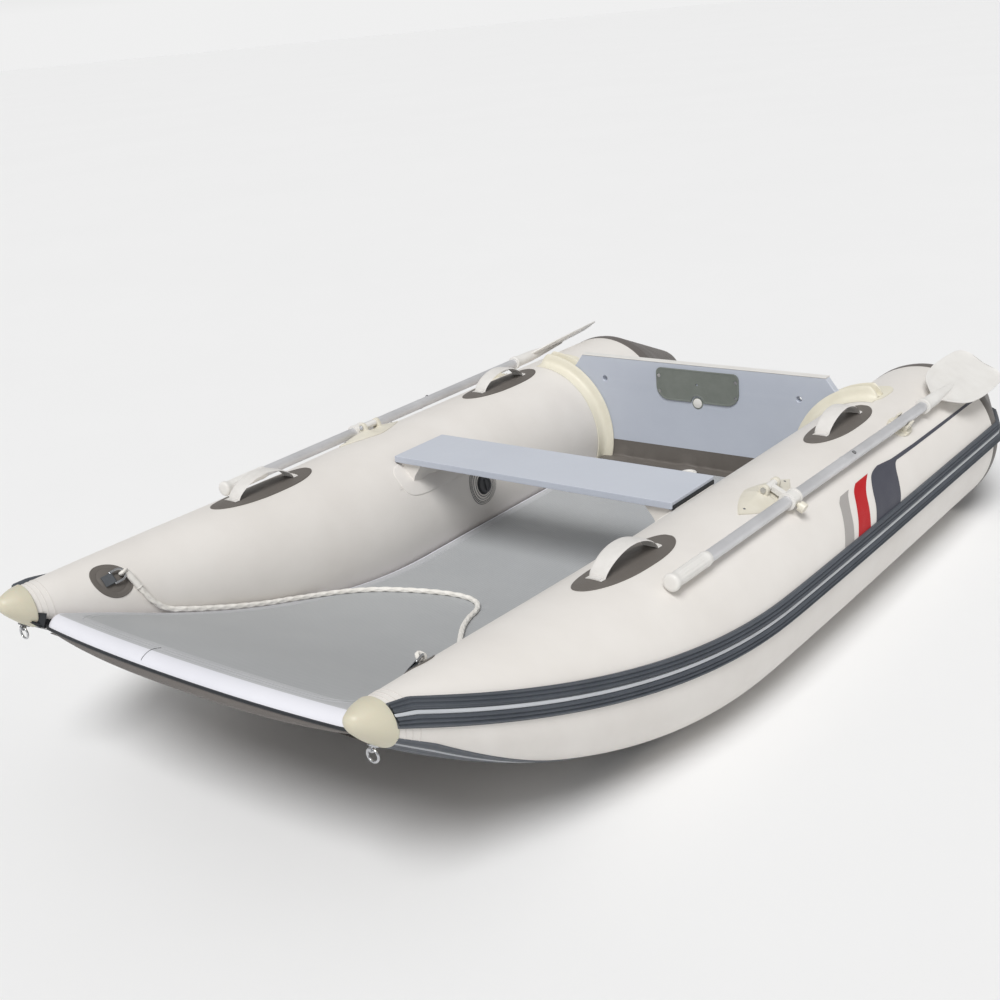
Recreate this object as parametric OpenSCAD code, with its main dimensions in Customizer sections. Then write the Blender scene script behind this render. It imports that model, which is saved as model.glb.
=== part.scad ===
// Inflatable catamaran dinghy: two air tubes, a drop-stitch air deck, a
// transom for a small outboard, one bench, and a pair of stowed oars.
// +Z up, bow towards -Y, port side +X, origin on the ground at mid length.

/* [Hull] */
// Overall length, nose caps to stern cones
boat_l = 2850; // [2700:10:3100]
// Diameter of each air tube
tube_d = 438; // [400:2:470]
// Distance between the centre lines of the two tubes
tube_spacing = 1140; // [1080:5:1240]
// Thickness of the tube fabric
fabric_t = 1.5; // [1:0.1:3]
// Height that the bow rises above the straight part of the tubes
bow_rise = 223; // [150:1:260]
// How far each nose stands in from its tube's centre line
bow_toe_in = 52; // [0:1:80]
// Radius of the rounded nose
nose_r = 31; // [24:1:40]
// Length of the moulded nose cap behind the nose centre
cap_l = 54; // [40:1:90]
// Length of the stern cone behind the light tube fabric
cone_l = 378; // [300:1:420]
// Radius of the disc that closes the stern cone
cone_end_r = 62; // [40:1:90]

/* [Rub strake and keel strip] */
// Width of the rub strake over both ribbed bands
strake_w = 61; // [50:1:70]
// Height of the rub strake's ribs
strake_h = 11; // [6:0.5:14]
// Width of the strip along the bottom of each tube
keel_w = 64; // [50:1:90]
// Height of the strip along the bottom of each tube
keel_t = 3; // [2:0.5:6]

/* [Deck] */
// Height of the deck's top above the ground, amidships
deck_top = 153; // [145:1:165]
// Thickness of the drop-stitch deck
deck_t = 60; // [50:1:70]
// Height that the deck rises towards the bow
deck_rise = 308; // [200:1:330]
// How far the bottom skin hangs below the deck at the middle
skin_drop = 36; // [15:1:45]

/* [Transom] */
// Distance from the stern to the middle of the transom
transom_inset = 733; // [650:1:800]
// Thickness of the transom board
transom_t = 25; // [18:1:30]
// Height of the transom's top edge above the ground
transom_top = 483; // [470:1:520]
// Diameter of the two tie holes in the transom
tie_hole_d = 17; // [10:1:20]
// Distance between the two tie holes
tie_hole_spacing = 674; // [560:2:680]
// Width of the motor plates
plate_w = 286; // [240:2:320]
// Height of the motor plates
plate_h = 102; // [80:2:120]
// Thickness of each motor plate
plate_t = 4; // [2:0.5:6]

/* [Seat] */
// Width of the bench board, fore and aft
seat_w = 206; // [180:2:240]
// Thickness of the bench board
seat_t = 18; // [12:1:24]
// Height of the bench's top above the ground
seat_top = 424; // [410:1:430]
// Distance from the bow to the middle of the bench
seat_from_bow = 1306; // [1200:2:1400]
// How far the bench slides on its brackets, each way
seat_travel = 40; // [20:1:50]

/* [Oars] */
// Outside diameter of the oar shaft
shaft_d = 29; // [25:0.5:32]
// Wall of the oar shaft
shaft_wall = 1.5; // [1:0.1:2.5]
// Length of the oar, grip end to blade tip
oar_l = 1760; // [1600:10:1860]
// Length from the grip's end to the oarlock
oar_inboard_l = 532; // [480:2:560]
// Width of the oar blade
blade_w = 168; // [130:2:190]
// Length of the oar blade
blade_l = 446; // [380:2:480]
// Distance from the bow to the oarlocks
lock_from_bow = 1323; // [1250:1:1400]
// Diameter of the fore and aft pin in each oarlock
lock_pin_d = 8; // [6:0.5:10]
// Outward turn of the stowed oar, seen from above
oar_toe = 0.9; // [0:0.1:1.5]

/* [Fittings] */
// Length of a handle's patch
handle_patch_l = 350; // [300:5:380]
// Width of a handle's patch
handle_patch_w = 104; // [80:2:120]
// Distance between the feet of a handle's strap
handle_span = 196; // [150:2:220]
// Height of a handle's strap above the tube
handle_h = 46; // [36:1:60]
// Width of a handle's strap
handle_w = 40; // [30:1:50]
// Distance from the bow to the middle of the fore handles
fore_handle_from_bow = 817; // [760:1:860]
// Distance from the bow to the middle of the aft handles
aft_handle_from_bow = 1853; // [1800:1:1880]
// Diameter of the patch under each bow ring
ring_patch_d = 92; // [80:1:110]
// Thickness of the stainless ring's wire
ring_wire_d = 6; // [5:0.5:8]
// Diameter of the bow rope
rope_d = 11; // [8:0.5:12]
// Diameter of a tube valve's flange
valve_d = 100; // [90:1:120]

/* [Hidden] */
$fn = 48;

// Colours
TUBE = [0.90, 0.89, 0.87];
IVORY = [0.86, 0.84, 0.76];
SLATE = [0.30, 0.32, 0.35];
TAUPE = [0.38, 0.36, 0.34];
DECK = [0.68, 0.69, 0.70];
BOARD = [0.75, 0.78, 0.83];
WHITE = [0.93, 0.93, 0.93];
STEEL = [0.75, 0.76, 0.78];
ALLOY = [0.80, 0.81, 0.82];

// Air gap between neighbouring pieces that only touch
seat_gap = 0.3;
// Radial clearance of a pin in its bore
pin_gap = 0.05;

// Lengthwise stations
bow_y = -boat_l / 2;
stern_y = boat_l / 2;
tip_y = bow_y + nose_r;
cap_y = tip_y + cap_l;
tube_end_y = stern_y - cone_l;
transom_y = stern_y - transom_inset;
seat_y = bow_y + seat_from_bow;
lock_y = bow_y + lock_from_bow;
fore_handle_y = bow_y + fore_handle_from_bow;
aft_handle_y = bow_y + aft_handle_from_bow;

// The tube's centre line and radius, which bend and taper towards the nose
tube_r0 = tube_d / 2;
tube_x0 = tube_spacing / 2;
tube_z0 = tube_r0 + keel_t;
sweep_l = 1760;
rise_l = 1079;
taper_l = 1156;
function ramp(y, l, e) = pow(max(0, (tip_y + l - y) / l), e);
function tube_x(y) = tube_x0 - bow_toe_in * ramp(y, sweep_l, 2.39);
function tube_z(y) = tube_z0 + bow_rise * ramp(y, rise_l, 1.92);
function tube_r(y) = tube_r0 + (nose_r - tube_r0) * ramp(y, taper_l, 2.15);

// The stern cone's radius
cone_round = 26;
function cone_r(y) = y < tube_end_y + cone_round
    ? tube_r0 - 3 * pow(max(0, y - tube_end_y) / cone_round, 2)
    : tube_r0 - 3 - (tube_r0 - 3 - cone_end_r - 16)
        * (y - tube_end_y - cone_round) / (cone_l - cone_round - 12);
function hull_r(y) = y < tube_end_y ? tube_r(y) : cone_r(y);

// A point on the port tube: a is the angle up from outboard, off the height
function on_tube(y, a, off = 0) =
    [tube_x(y) + (hull_r(y) + off) * cos(a), y, tube_z(y) + (hull_r(y) + off) * sin(a)];

// A smooth run of n + 1 stations from y0 to y1
function run(y0, y1, n) = [for (i = [0:n]) y0 + (y1 - y0) * i / n];
// The same, closer together towards both ends
function ease(y0, y1, n) = [for (i = [0:n]) (y0 + y1) / 2 - (y1 - y0) / 2 * cos(180 * i / n)];

// A skin through rings of points, each ring closed, with flat end faces
module loft(rings, ring_closed = false) {
    k = len(rings);
    n = len(rings[0]);
    pts = [for (r = rings) for (p = r) p];
    steps = ring_closed ? k : k - 1;
    walls = [for (i = [0:steps - 1]) for (j = [0:n - 1]) for (h = [0, 1])
        let (a = i * n + j,
             b = i * n + (j + 1) % n,
             c = ((i + 1) % k) * n + (j + 1) % n,
             d = ((i + 1) % k) * n + j)
        h == 0 ? [a, b, c] : [a, c, d]];
    ends = ring_closed ? []
        : [[for (j = [n - 1:-1:0]) j], [for (j = [0:n - 1]) (k - 1) * n + j]];
    polyhedron(points = pts, faces = concat(walls, ends), convexity = 6);
}

// Port pieces are drawn, and starboard ones are their mirror image
module on_side(side) {
    if (side > 0) children();
    else mirror([1, 0, 0]) children();
}
module both_sides() {
    on_side(1) children();
    on_side(-1) children();
}

// A rounded patch that follows the tube: length l and width w about (y, a)
module tube_patch(y, a, l, w, t, roundness = 2.4, rows = 12, cols = 6) {
    loft([for (yy = ease(y - l / 2, y + l / 2, rows))
        let (u = abs(yy - y) / (l / 2),
             half = max(1, w / 2 * pow(max(0, 1 - pow(u, roundness)), 1 / roundness)),
             turn = half / hull_r(yy) * 180 / PI)
        concat([for (j = [0:cols]) on_tube(yy, a - turn + 2 * turn * j / cols, seat_gap + t)],
               [for (j = [cols:-1:0]) on_tube(yy, a - turn + 2 * turn * j / cols, seat_gap)])]);
}

// Turns a piece drawn at the tube's crown, standing up, to angle a at y
module stand_on_tube(y, a, off = 0) {
    p = on_tube(y, a, off);
    translate(p) rotate([0, 90 - a, 0]) children();
}

/* ---- Air tubes ---- */
tube_sides = 40;
tube_rows = concat(run(cap_y, cap_y + 110, 3), run(cap_y + 220, tip_y + sweep_l, 12),
    [tube_end_y]);
function tube_ring(y, off) = [for (j = [0:tube_sides - 1]) on_tube(y, 360 * j / tube_sides, off)];

module tube_shell() {
    color(TUBE) difference() {
        loft(concat([for (y = tube_rows) tube_ring(y, 0)],
            [for (i = [len(tube_rows) - 1:-1:0]) tube_ring(tube_rows[i], -fabric_t)]),
            ring_closed = true);
        at_tube_valve() translate([0, 0, -20]) cylinder(r = cap_screw_r + seat_gap, h = 40);
    }
}
module port_tube() { on_side(1) tube_shell(); }
module starboard_tube() { on_side(-1) tube_shell(); }

/* ---- Nose caps ---- */
// The cap is a rounded nose that the tube's open end butts against
cap_rows = 6;
module nose_cap() {
    cap_x = tube_x(tip_y);
    cap_z = tube_z(tip_y);
    nose = [for (b = [4, 18, 33, 48, 63, 77])
        let (y = tip_y - nose_r * cos(b), r = nose_r * sin(b))
        [for (j = [0:31]) [cap_x + r * cos(11.25 * j), y, cap_z + r * sin(11.25 * j)]]];
    body = [for (i = [0:cap_rows])
        let (y = tip_y + (cap_y - seat_gap - tip_y) * i / cap_rows)
        [for (j = [0:31]) on_tube(y, 11.25 * j, 2)]];
    color(IVORY) loft(concat(nose, body));
}
module port_nose_cap() { on_side(1) nose_cap(); }
module starboard_nose_cap() { on_side(-1) nose_cap(); }

/* ---- Stern cones ---- */
// Shell of revolution closed by a disc, open where it meets the tube
module stern_cone() {
    y0 = tube_end_y + seat_gap;
    outer = [[cone_r(y0), y0], [cone_r(tube_end_y + cone_round), tube_end_y + cone_round],
        [cone_end_r + 16, stern_y - 12], [cone_end_r + 9, stern_y - 4],
        [cone_end_r, stern_y], [0, stern_y]];
    inner = [[0, stern_y - 2], [cone_end_r, stern_y - 2], [cone_end_r + 12, stern_y - 13],
        [cone_r(tube_end_y + cone_round) - fabric_t, tube_end_y + cone_round],
        [cone_r(y0) - fabric_t, y0]];
    color(TAUPE)
    translate([tube_x0, 0, tube_z0]) rotate([-90, 0, 0]) rotate_extrude($fn = 72)
        polygon([for (p = concat(outer, inner)) p]);
}
module port_stern_cone() { on_side(1) stern_cone(); }
module starboard_stern_cone() { on_side(-1) stern_cone(); }

/* ---- Rub strakes ---- */
// Ribbed profile as [distance up the girth, height], two bands about a valley
strake_profile = [[0, 2], [0.05, 7], [0.10, 9], [0.16, 11], [0.21, 9], [0.27, 11], [0.33, 9],
    [0.38, 7], [0.41, 3.5], [0.52, 3.5], [0.55, 7], [0.61, 9], [0.68, 11], [0.75, 9],
    [0.82, 11], [0.90, 9], [0.96, 7], [1, 2]];
strake_tail_y = tube_end_y + 150;
strake_rows = concat([cap_y + 4], [for (y = tube_rows) if (y > cap_y + 4) y],
    [tube_end_y + cone_round / 2], run(tube_end_y + cone_round, strake_tail_y, 2));
module rub_strake() {
    floor_h = 0.6;
    color(SLATE)
    loft([for (y = strake_rows)
        let (turn = strake_w / max(hull_r(y), 60) * 180 / PI)
        concat([for (p = strake_profile) on_tube(y, p[0] * turn, floor_h + p[1] * strake_h / 11)],
               [for (j = [7:-1:0]) on_tube(y, turn * j / 7, floor_h)])]);
}
module port_rub_strake() { on_side(1) rub_strake(); }
module starboard_rub_strake() { on_side(-1) rub_strake(); }

/* ---- Keel strips ---- */
keel_rows = concat([cap_y + 2], [for (y = tube_rows) if (y > cap_y + 2 && y < tube_end_y) y],
    [tube_end_y - 8]);
module keel_strip() {
    loft([for (y = keel_rows)
        let (turn = keel_w / 2 / max(hull_r(y), 70) * 180 / PI, top = keel_t)
        concat([for (j = [-4:4]) on_tube(y, -90 + turn * j / 4, j % 2 == 0 ? top : top - 0.8)],
               [for (j = [4:-1:-4]) on_tube(y, -90 + turn * j / 4, 0.3)])]);
}
module keel_strips() {
    color(SLATE) both_sides() keel_strip();
}

/* ---- Air deck ---- */
deck_ramp_l = 1150;
function deck_z(y) = deck_top + deck_rise * ramp(y, deck_ramp_l, 1.85);
// Slope of the deck in degrees, rising towards the bow
function deck_slope(y) = atan((deck_z(y - 5) - deck_z(y + 5)) / 10);
// A point of the deck at depth h below its top surface
function in_deck(x, y, h) =
    [x, y - h * sin(deck_slope(y)), deck_z(y) - h * cos(deck_slope(y))];
// Half width of the deck, where its shoulder lies against the tubes
deck_gap = 2.5;
deck_edge_r = 22;
function tube_in(y, z) =
    tube_x(y) - sqrt(max(0, pow(tube_r(y), 2) - pow(min(0, z - tube_z(y)), 2)));
function deck_half(y) = tube_in(y, deck_z(y) - 12) - deck_gap;
deck_tail_y = transom_y - 37;
deck_front_y = cap_y - 22;
// Cross-section of the deck as [x, depth], a rectangle with round corners
function deck_ring(y, half, t, inset) =
    let (r = deck_edge_r - inset, x = half - inset, lo = inset, hi = t - inset)
    concat([for (a = [90, 60, 30, 0]) in_deck(x - r + r * cos(a), y, lo + r - r * sin(a))],
           [for (a = [0, -30, -60, -90]) in_deck(x - r + r * cos(a), y, hi - r - r * sin(a))],
           [for (a = [270, 240, 210, 180]) in_deck(-x + r + r * cos(a), y, hi - r - r * sin(a))],
           [for (a = [180, 150, 120, 90]) in_deck(-x + r + r * cos(a), y, lo + r - r * sin(a))]);
// The bow edge of the deck is rounded off in plan and in section
deck_rows = concat(run(deck_front_y + 40, tip_y + deck_ramp_l, 14), [deck_tail_y]);
function reversed(list) = [for (i = [len(list) - 1:-1:0]) list[i]];
module deck_shell() {
    skin = 2;
    front = [for (s = [[0, 18, 30], [6, 8, 16], [16, 2, 6], [30, 0, 0]])
        let (y = deck_front_y + s[0])
        deck_front_ring(y, deck_half(y) - s[2], s[1])];
    outer = [for (y = deck_rows) deck_ring(y, deck_half(y), deck_t, 0)];
    inner = [for (y = deck_rows) deck_ring(y, deck_half(y), deck_t, skin)];
    loft([for (r = concat(front, outer, reversed(inner))) reversed(r)]);
}
// A deck ring squeezed by cut above and below, for the rounded bow edge
function deck_front_ring(y, half, cut) =
    let (r = max(2, deck_edge_r - cut), x = half, lo = cut, hi = deck_t - cut)
    concat([for (a = [90, 60, 30, 0]) in_deck(x - r + r * cos(a), y, lo + r - r * sin(a))],
           [for (a = [0, -30, -60, -90]) in_deck(x - r + r * cos(a), y, hi - r - r * sin(a))],
           [for (a = [270, 240, 210, 180]) in_deck(-x + r + r * cos(a), y, hi - r - r * sin(a))],
           [for (a = [180, 150, 120, 90]) in_deck(-x + r + r * cos(a), y, lo + r - r * sin(a))]);
deck_valve_y = deck_tail_y - 48;
module air_deck() {
    color(DECK) difference() {
        deck_shell();
        translate([0, deck_valve_y, deck_top - 10]) cylinder(r = cap_screw_r + seat_gap, h = 20);
    }
}
module deck_tail_panel() {
    half = deck_half(deck_tail_y);
    color(WHITE)
    translate([0, deck_tail_y + seat_gap, deck_top - deck_t / 2]) rotate([-90, 0, 0])
    linear_extrude(2) hull() for (x = [-1, 1]) for (z = [-1, 1])
        translate([x * (half - deck_edge_r), z * (deck_t / 2 - deck_edge_r)])
            circle(r = deck_edge_r, $fn = 32);
}

/* ---- Bottom skin ---- */
skin_t = 2;
skin_cols = 10;
skin_rows = concat(run(deck_front_y + 2, tip_y + deck_ramp_l, 12),
    [transom_y - 540, transom_y - 40, transom_y + 30]);
// The skin sags less towards the transom, whose foot stands on it
function skin_sag(y) =
    skin_drop * min(1, max(0, transom_y - 40 - y) / 500, max(0, y - deck_front_y) / 300);
function skin_half(y, z) =
    let (drop = min(max(0, tube_z(y) - z), 0.75 * tube_r(y)))
    tube_x(y) - sqrt(pow(tube_r(y), 2) - pow(drop, 2)) - 0.8 - 4 * ramp(y, deck_ramp_l, 1);
function skin_pt(y, u, off) =
    let (p = in_deck(0, y, deck_t + 1.5 + skin_sag(y) * (1 - u * u) + off),
         edge = in_deck(0, y, deck_t + 1.5))
    [u * skin_half(edge[1], edge[2]), p[1], p[2]];
module bottom_skin() {
    color(TAUPE)
    loft([for (y = skin_rows)
        concat([for (j = [0:skin_cols]) skin_pt(y, 2 * j / skin_cols - 1, skin_t)],
               [for (j = [skin_cols:-1:0]) skin_pt(y, 2 * j / skin_cols - 1, 0)])]);
}

/* ---- Bow gussets ---- */
// Black web across the gap between the nose cap and the deck's front corner
gusset_t = 2.4;
gusset_cap_gap = 2.6;   // keeps the flat web clear of the round cap
function gusset_y() = deck_front_y - gusset_t / 2 - 2;
function gusset_x(p) =
    let (r = tube_r(p[1]) + 2 + gusset_t / 2 + gusset_cap_gap, drop = min(abs(p[2] - tube_z(p[1])), 0.8 * r))
    tube_x(p[1]) - sqrt(r * r - drop * drop);
module bow_gusset() {
    hull() for (h = [20, 40]) {
        p = in_deck(0, gusset_y(), h);
        for (x = [gusset_x(p), deck_half(deck_front_y) - 44])
            translate([x, p[1], p[2]]) sphere(r = gusset_t / 2, $fn = 8);
    }
}
module bow_gussets() { color([0.10, 0.11, 0.12]) both_sides() bow_gusset(); }

/* ---- Transom ---- */
holder_gap = 2;
holder_base_t = 3.5;
board_arc_r = tube_r0 + seat_gap + holder_base_t + holder_gap;
transom_half = 421;
transom_chamfer = 25;
transom_foot = deck_top - deck_t - 1.5 + seat_gap;
module board_outline(grow = 0) {
    difference() {
        polygon([[-transom_half - 110, transom_foot], [transom_half + 110, transom_foot],
            [transom_half + 110, transom_top - 33 - 60],
            [transom_half + transom_chamfer + grow, transom_top - 33],
            [transom_half + grow, transom_top + grow], [-transom_half - grow, transom_top + grow],
            [-transom_half - transom_chamfer - grow, transom_top - 33],
            [-transom_half - 110, transom_top - 33 - 60]]);
        for (s = [-1, 1]) translate([s * tube_x0, tube_z0]) circle(r = board_arc_r, $fn = 96);
        for (s = [-1, 1]) translate([s * (tube_x0 + 200), tube_z0])
            square([400, 700], center = true);
    }
}
// Stands a drawing in X and Z upright, t thick, from y towards the bow
module upright(y, t) {
    translate([0, y, 0]) rotate([90, 0, 0]) linear_extrude(t) children();
}
plate_z = transom_top - 14 - plate_h / 2;
bolt_r = 2.5;
// Countersunk heads lie flush in both plates
csk_r = 5.5;
csk_h = 2.4;
csk_gap = 0.5;
bolt_x = plate_w / 2 - 10;
bolt_z = plate_h / 2 - 26;
module at_bolts() {
    for (x = [-1, 1]) for (z = [-1, 1])
        translate([x * bolt_x, transom_y, plate_z + z * bolt_z]) children();
}
module transom_board() {
    color(BOARD) difference() {
        upright(transom_y + transom_t / 2, transom_t) board_outline();
        for (s = [-1, 1])
            translate([s * tie_hole_spacing / 2, transom_y, transom_top - 70])
            rotate([90, 0, 0]) cylinder(d = tie_hole_d, h = transom_t + 2, center = true);
        at_bolts() rotate([90, 0, 0]) cylinder(r = bolt_r + pin_gap, h = 60, center = true);
    }
}
trim_t = 3;
module transom_edge_trim() {
    x = transom_half + 0.5;
    color(WHITE)
    upright(transom_y + transom_t / 2 + 1, transom_t + 2)
    polygon([[-x, transom_top + seat_gap], [x, transom_top + seat_gap],
        [x, transom_top + seat_gap + trim_t], [-x, transom_top + seat_gap + trim_t]]);
}
// Moulded channel round the inner side of the tube, which grips the board
holder_h = 34;
holder_wall = 13;
holder_a0 = 92;
holder_a1 = 180 + asin((tube_z0 - transom_foot - 1) / (board_arc_r - holder_gap + holder_h));
holder_flare = 8;
module transom_holder() {
    half_in = transom_t / 2 + seat_gap;
    half_out = half_in + holder_wall;
    r0 = tube_r0 + seat_gap;
    r1 = r0 + holder_base_t;
    color(IVORY)
    translate([tube_x0, transom_y, tube_z0]) rotate([90, 0, 0])
    rotate([0, 0, holder_a0]) rotate_extrude(angle = holder_a1 - holder_a0, $fn = 96)
        polygon([[r0, -half_out - holder_flare], [r1 - 1, -half_out - holder_flare], [r1 + 2, -half_out],
            [r1 + holder_h - 8, -half_out + 3], [r1 + holder_h, -half_in - 4],
            [r1 + holder_h, -half_in], [r1, -half_in], [r1, half_in],
            [r1 + holder_h, half_in], [r1 + holder_h, half_in + 4],
            [r1 + holder_h - 8, half_out - 3], [r1 + 2, half_out],
            [r1 - 1, half_out + holder_flare], [r0, half_out + holder_flare]]);
}
module port_transom_holder() { on_side(1) transom_holder(); }
module starboard_transom_holder() { on_side(-1) transom_holder(); }

module plate_outline() {
    difference() {
        hull() {
            for (s = [-1, 1]) translate([s * (plate_w / 2 - 18), plate_h / 2 - 18])
                circle(r = 18, $fn = 32);
            for (s = [-1, 1]) translate([s * (plate_w / 2 - 42), -plate_h / 2 + 42])
                circle(r = 42, $fn = 32);
        }
        translate([0, -plate_h / 2]) circle(r = 21, $fn = 48);
    }
}
// face is the end of the Y axis that the plate's outward face looks along
module motor_plate(face) {
    slope = (csk_r - bolt_r) / csk_h;
    difference() {
        translate([0, 0, plate_z]) rotate([90, 0, 0]) linear_extrude(plate_t) plate_outline();
        translate([0, 0, plate_z]) for (x = [-1, 1]) for (z = [-1, 1])
            translate([x * bolt_x, 0, z * bolt_z]) rotate([90, 0, 0])
            cylinder(r = bolt_r + pin_gap, h = 40, center = true);
        translate([0, face > 0 ? 0 : -plate_t, plate_z]) for (x = [-1, 1]) for (z = [-1, 1])
            translate([x * bolt_x, 0, z * bolt_z]) rotate([face * 90, 0, 0])
            translate([0, 0, -1])
            cylinder(r1 = csk_r + csk_gap + slope, r2 = bolt_r + csk_gap, h = csk_h + 1);
        translate([0, 0, plate_z + 6]) rotate([90, 0, 0]) cylinder(r = 4, h = 40, center = true);
    }
}
inner_plate_y = transom_y - transom_t / 2;
outer_plate_y = transom_y + transom_t / 2 + plate_t;
module inner_motor_plate() {
    color([0.42, 0.45, 0.43]) translate([0, inner_plate_y, 0]) motor_plate(-1);
}
module outer_motor_plate() {
    color([0.42, 0.45, 0.43]) translate([0, outer_plate_y, 0]) motor_plate(1);
}
module motor_plate_bolts() {
    grip = transom_t + 2 * plate_t - 2 * seat_gap;
    color(STEEL) at_bolts() {
        rotate([90, 0, 0]) cylinder(r = bolt_r, h = grip, center = true);
        for (s = [-1, 1]) rotate([s * 90, 0, 0]) translate([0, 0, grip / 2 - csk_h])
            cylinder(r1 = bolt_r, r2 = csk_r, h = csk_h);
    }
}
// Fabric flap that closes the foot of the transom and laps onto the deck
flap_t = 2;
flap_top = 209 + keel_t;
module transom_flap() {
    y1 = inner_plate_y - seat_gap;
    clear_r = tube_r0 + seat_gap + holder_base_t + holder_h + 1;
    foot = deck_top + seat_gap;
    color(TAUPE) difference() {
        union() {
            upright(y1, flap_t) translate([-tube_x0, foot])
                square([2 * tube_x0, flap_top - foot]);
            translate([-tube_x0, deck_tail_y - 15, foot])
                cube([2 * tube_x0, y1 - deck_tail_y + 15, flap_t]);
        }
        for (s = [-1, 1]) translate([s * tube_x0, transom_y, tube_z0])
            rotate([90, 0, 0]) cylinder(r = clear_r, h = 200, center = true, $fn = 96);
    }
}

/* ---- Seat ---- */
seat_gap_x = 9;
function tube_inner_x(z) = tube_x0 - sqrt(pow(tube_r0, 2) - pow(z - tube_z0, 2));
seat_half = tube_inner_x(seat_top - seat_t) - seat_gap_x;
ledge_t = 3;
ledge_w = 74;
ledge_z = seat_top - seat_t - ledge_t - seat_gap;
bracket_l = seat_w - 24;
module seat_bracket() {
    // pad on the tube
    tube_patch(seat_y, 136, bracket_l + 70, 104, 2, roundness = 3.2);
    // web that stands off the tube under the bench's end, with a flat ledge
    web_x = tube_inner_x(ledge_z - 40) - 3;
    translate([0, seat_y + bracket_l / 2, 0]) rotate([90, 0, 0]) linear_extrude(bracket_l)
    polygon([[web_x - ledge_w + 34, ledge_z + ledge_t], [web_x + 48, ledge_z + ledge_t],
        [web_x + 46, ledge_z], [web_x - ledge_w + 40, ledge_z],
        [web_x - 5, ledge_z - 56], [web_x - 9, ledge_z - 56],
        [web_x - ledge_w + 34, ledge_z - 2]]);
}
// Degrees that the tube's centre line turns outward at y
function tube_drift(y) = atan((tube_x(y + 100) - tube_x(y - 100)) / 200);
module seat_brackets() {
    color(WHITE) difference() {
        both_sides() seat_bracket();
        both_sides() translate([tube_x(seat_y), seat_y, tube_z0])
            rotate([90, 0, -tube_drift(seat_y)])
            cylinder(r = tube_r0 + seat_gap, h = 600, center = true, $fn = 96);
    }
}
module seat_board() {
    color(BOARD) translate([0, 0, seat_top - seat_t]) linear_extrude(seat_t)
    translate([-seat_half, seat_y - seat_w / 2]) square([2 * seat_half, seat_w]);
}
module seat_end_clip() {
    x1 = tube_inner_x(ledge_z - 40) - 3 - ledge_w + 34 - 1;
    l = seat_w - 2 * seat_travel - 40;
    translate([0, seat_y + l / 2, 0]) rotate([90, 0, 0]) linear_extrude(l)
    polygon([[x1 - 22, seat_top - seat_t - seat_gap], [x1, seat_top - seat_t - seat_gap],
        [x1, ledge_z - 12], [x1 - 4, ledge_z - 12], [x1 - 4, seat_top - seat_t - 4],
        [x1 - 22, seat_top - seat_t - 4]]);
}
module seat_end_clips() { color([0.12, 0.13, 0.14]) both_sides() seat_end_clip(); }

/* ---- Carry handles ---- */
patch_t = 2;
strap_t = 2.5;
module handle_patches() {
    color(TAUPE) both_sides() for (y = [fore_handle_y, aft_handle_y])
        tube_patch(y, 90, handle_patch_l, handle_patch_w, patch_t, roundness = 2.2);
}
// The strap's bow as a fraction of its height, flat feet at both ends
foot_l = 16;
function strap_rise(u) = pow(sin(180 * min(1, max(0, u))), 0.62);
module handle_strap(y) {
    base = seat_gap + patch_t + seat_gap;
    side = handle_w / 2;
    steps = 16;
    loft([for (i = [-1:steps + 1])
        let (u = i / steps,
             yy = i < 0 ? y - handle_span / 2 - foot_l
                : i > steps ? y + handle_span / 2 + foot_l
                : y - handle_span / 2 * cos(180 * u),
             v = (yy - y + handle_span / 2) / handle_span,
             h = base + (handle_h - strap_t) * strap_rise(v),
             turn = side / tube_r(yy) * 180 / PI)
        concat([for (j = [-1:1]) on_tube(yy, 90 + turn * j, h + strap_t)],
               [for (j = [1:-1:-1]) on_tube(yy, 90 + turn * j, h)])]);
}
module fore_handle_straps() { color(WHITE) both_sides() handle_strap(fore_handle_y); }
module aft_handle_straps() { color(WHITE) both_sides() handle_strap(aft_handle_y); }

/* ---- Bow rings ---- */
ring_y = tip_y + 226;
ring_a = 139;
ring_w = 34;
ring_h = 30;
ring_bar_h = ring_wire_d / 2 + patch_t + 1.2;
module ring_frame() {
    stand_on_tube(ring_y, ring_a, seat_gap) rotate([0, 0, 90]) children();
}
module ring_patches() {
    color(TAUPE) both_sides()
        tube_patch(ring_y, ring_a, ring_patch_d, ring_patch_d, patch_t, roundness = 2, rows = 14);
}
// Webbing folded over the ring's straight bar
module ring_webbing() {
    t = 1.6;
    r0 = ring_wire_d / 2 + seat_gap;
    l = ring_w - 2 * ring_wire_d;
    color(SLATE) both_sides() ring_frame()
    translate([0, -l / 2, ring_bar_h + 1]) rotate([-90, 0, 0]) linear_extrude(l) {
        difference() {
            union() {
                circle(r = r0 + t, $fn = 32);
                translate([-24, -r0 + 0.6]) square([24, 2 * r0 - 0.6]);
            }
            circle(r = r0, $fn = 32);
        }
    }
}
// D-shaped ring: a straight bar along the hull and a bow of wire
module bow_ring() {
    r = ring_wire_d / 2;
    half = ring_w / 2 - r;
    ring_frame() translate([0, 0, ring_bar_h + 1]) rotate([0, -14, 0]) {
        translate([0, -half, 0]) rotate([-90, 0, 0]) cylinder(r = r, h = 2 * half, $fn = 24);
        for (s = [-1, 1]) translate([0, s * half, 0]) {
            sphere(r = r, $fn = 24);
            rotate([0, 90, 0]) cylinder(r = r, h = ring_h - half, $fn = 24);
        }
        translate([ring_h - half, 0, 0]) rotate([0, 0, -90])
            rotate_extrude(angle = 180, $fn = 48) translate([half, 0]) circle(r = r, $fn = 24);
    }
}
module bow_rings() { color(STEEL) both_sides() bow_ring(); }

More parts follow.
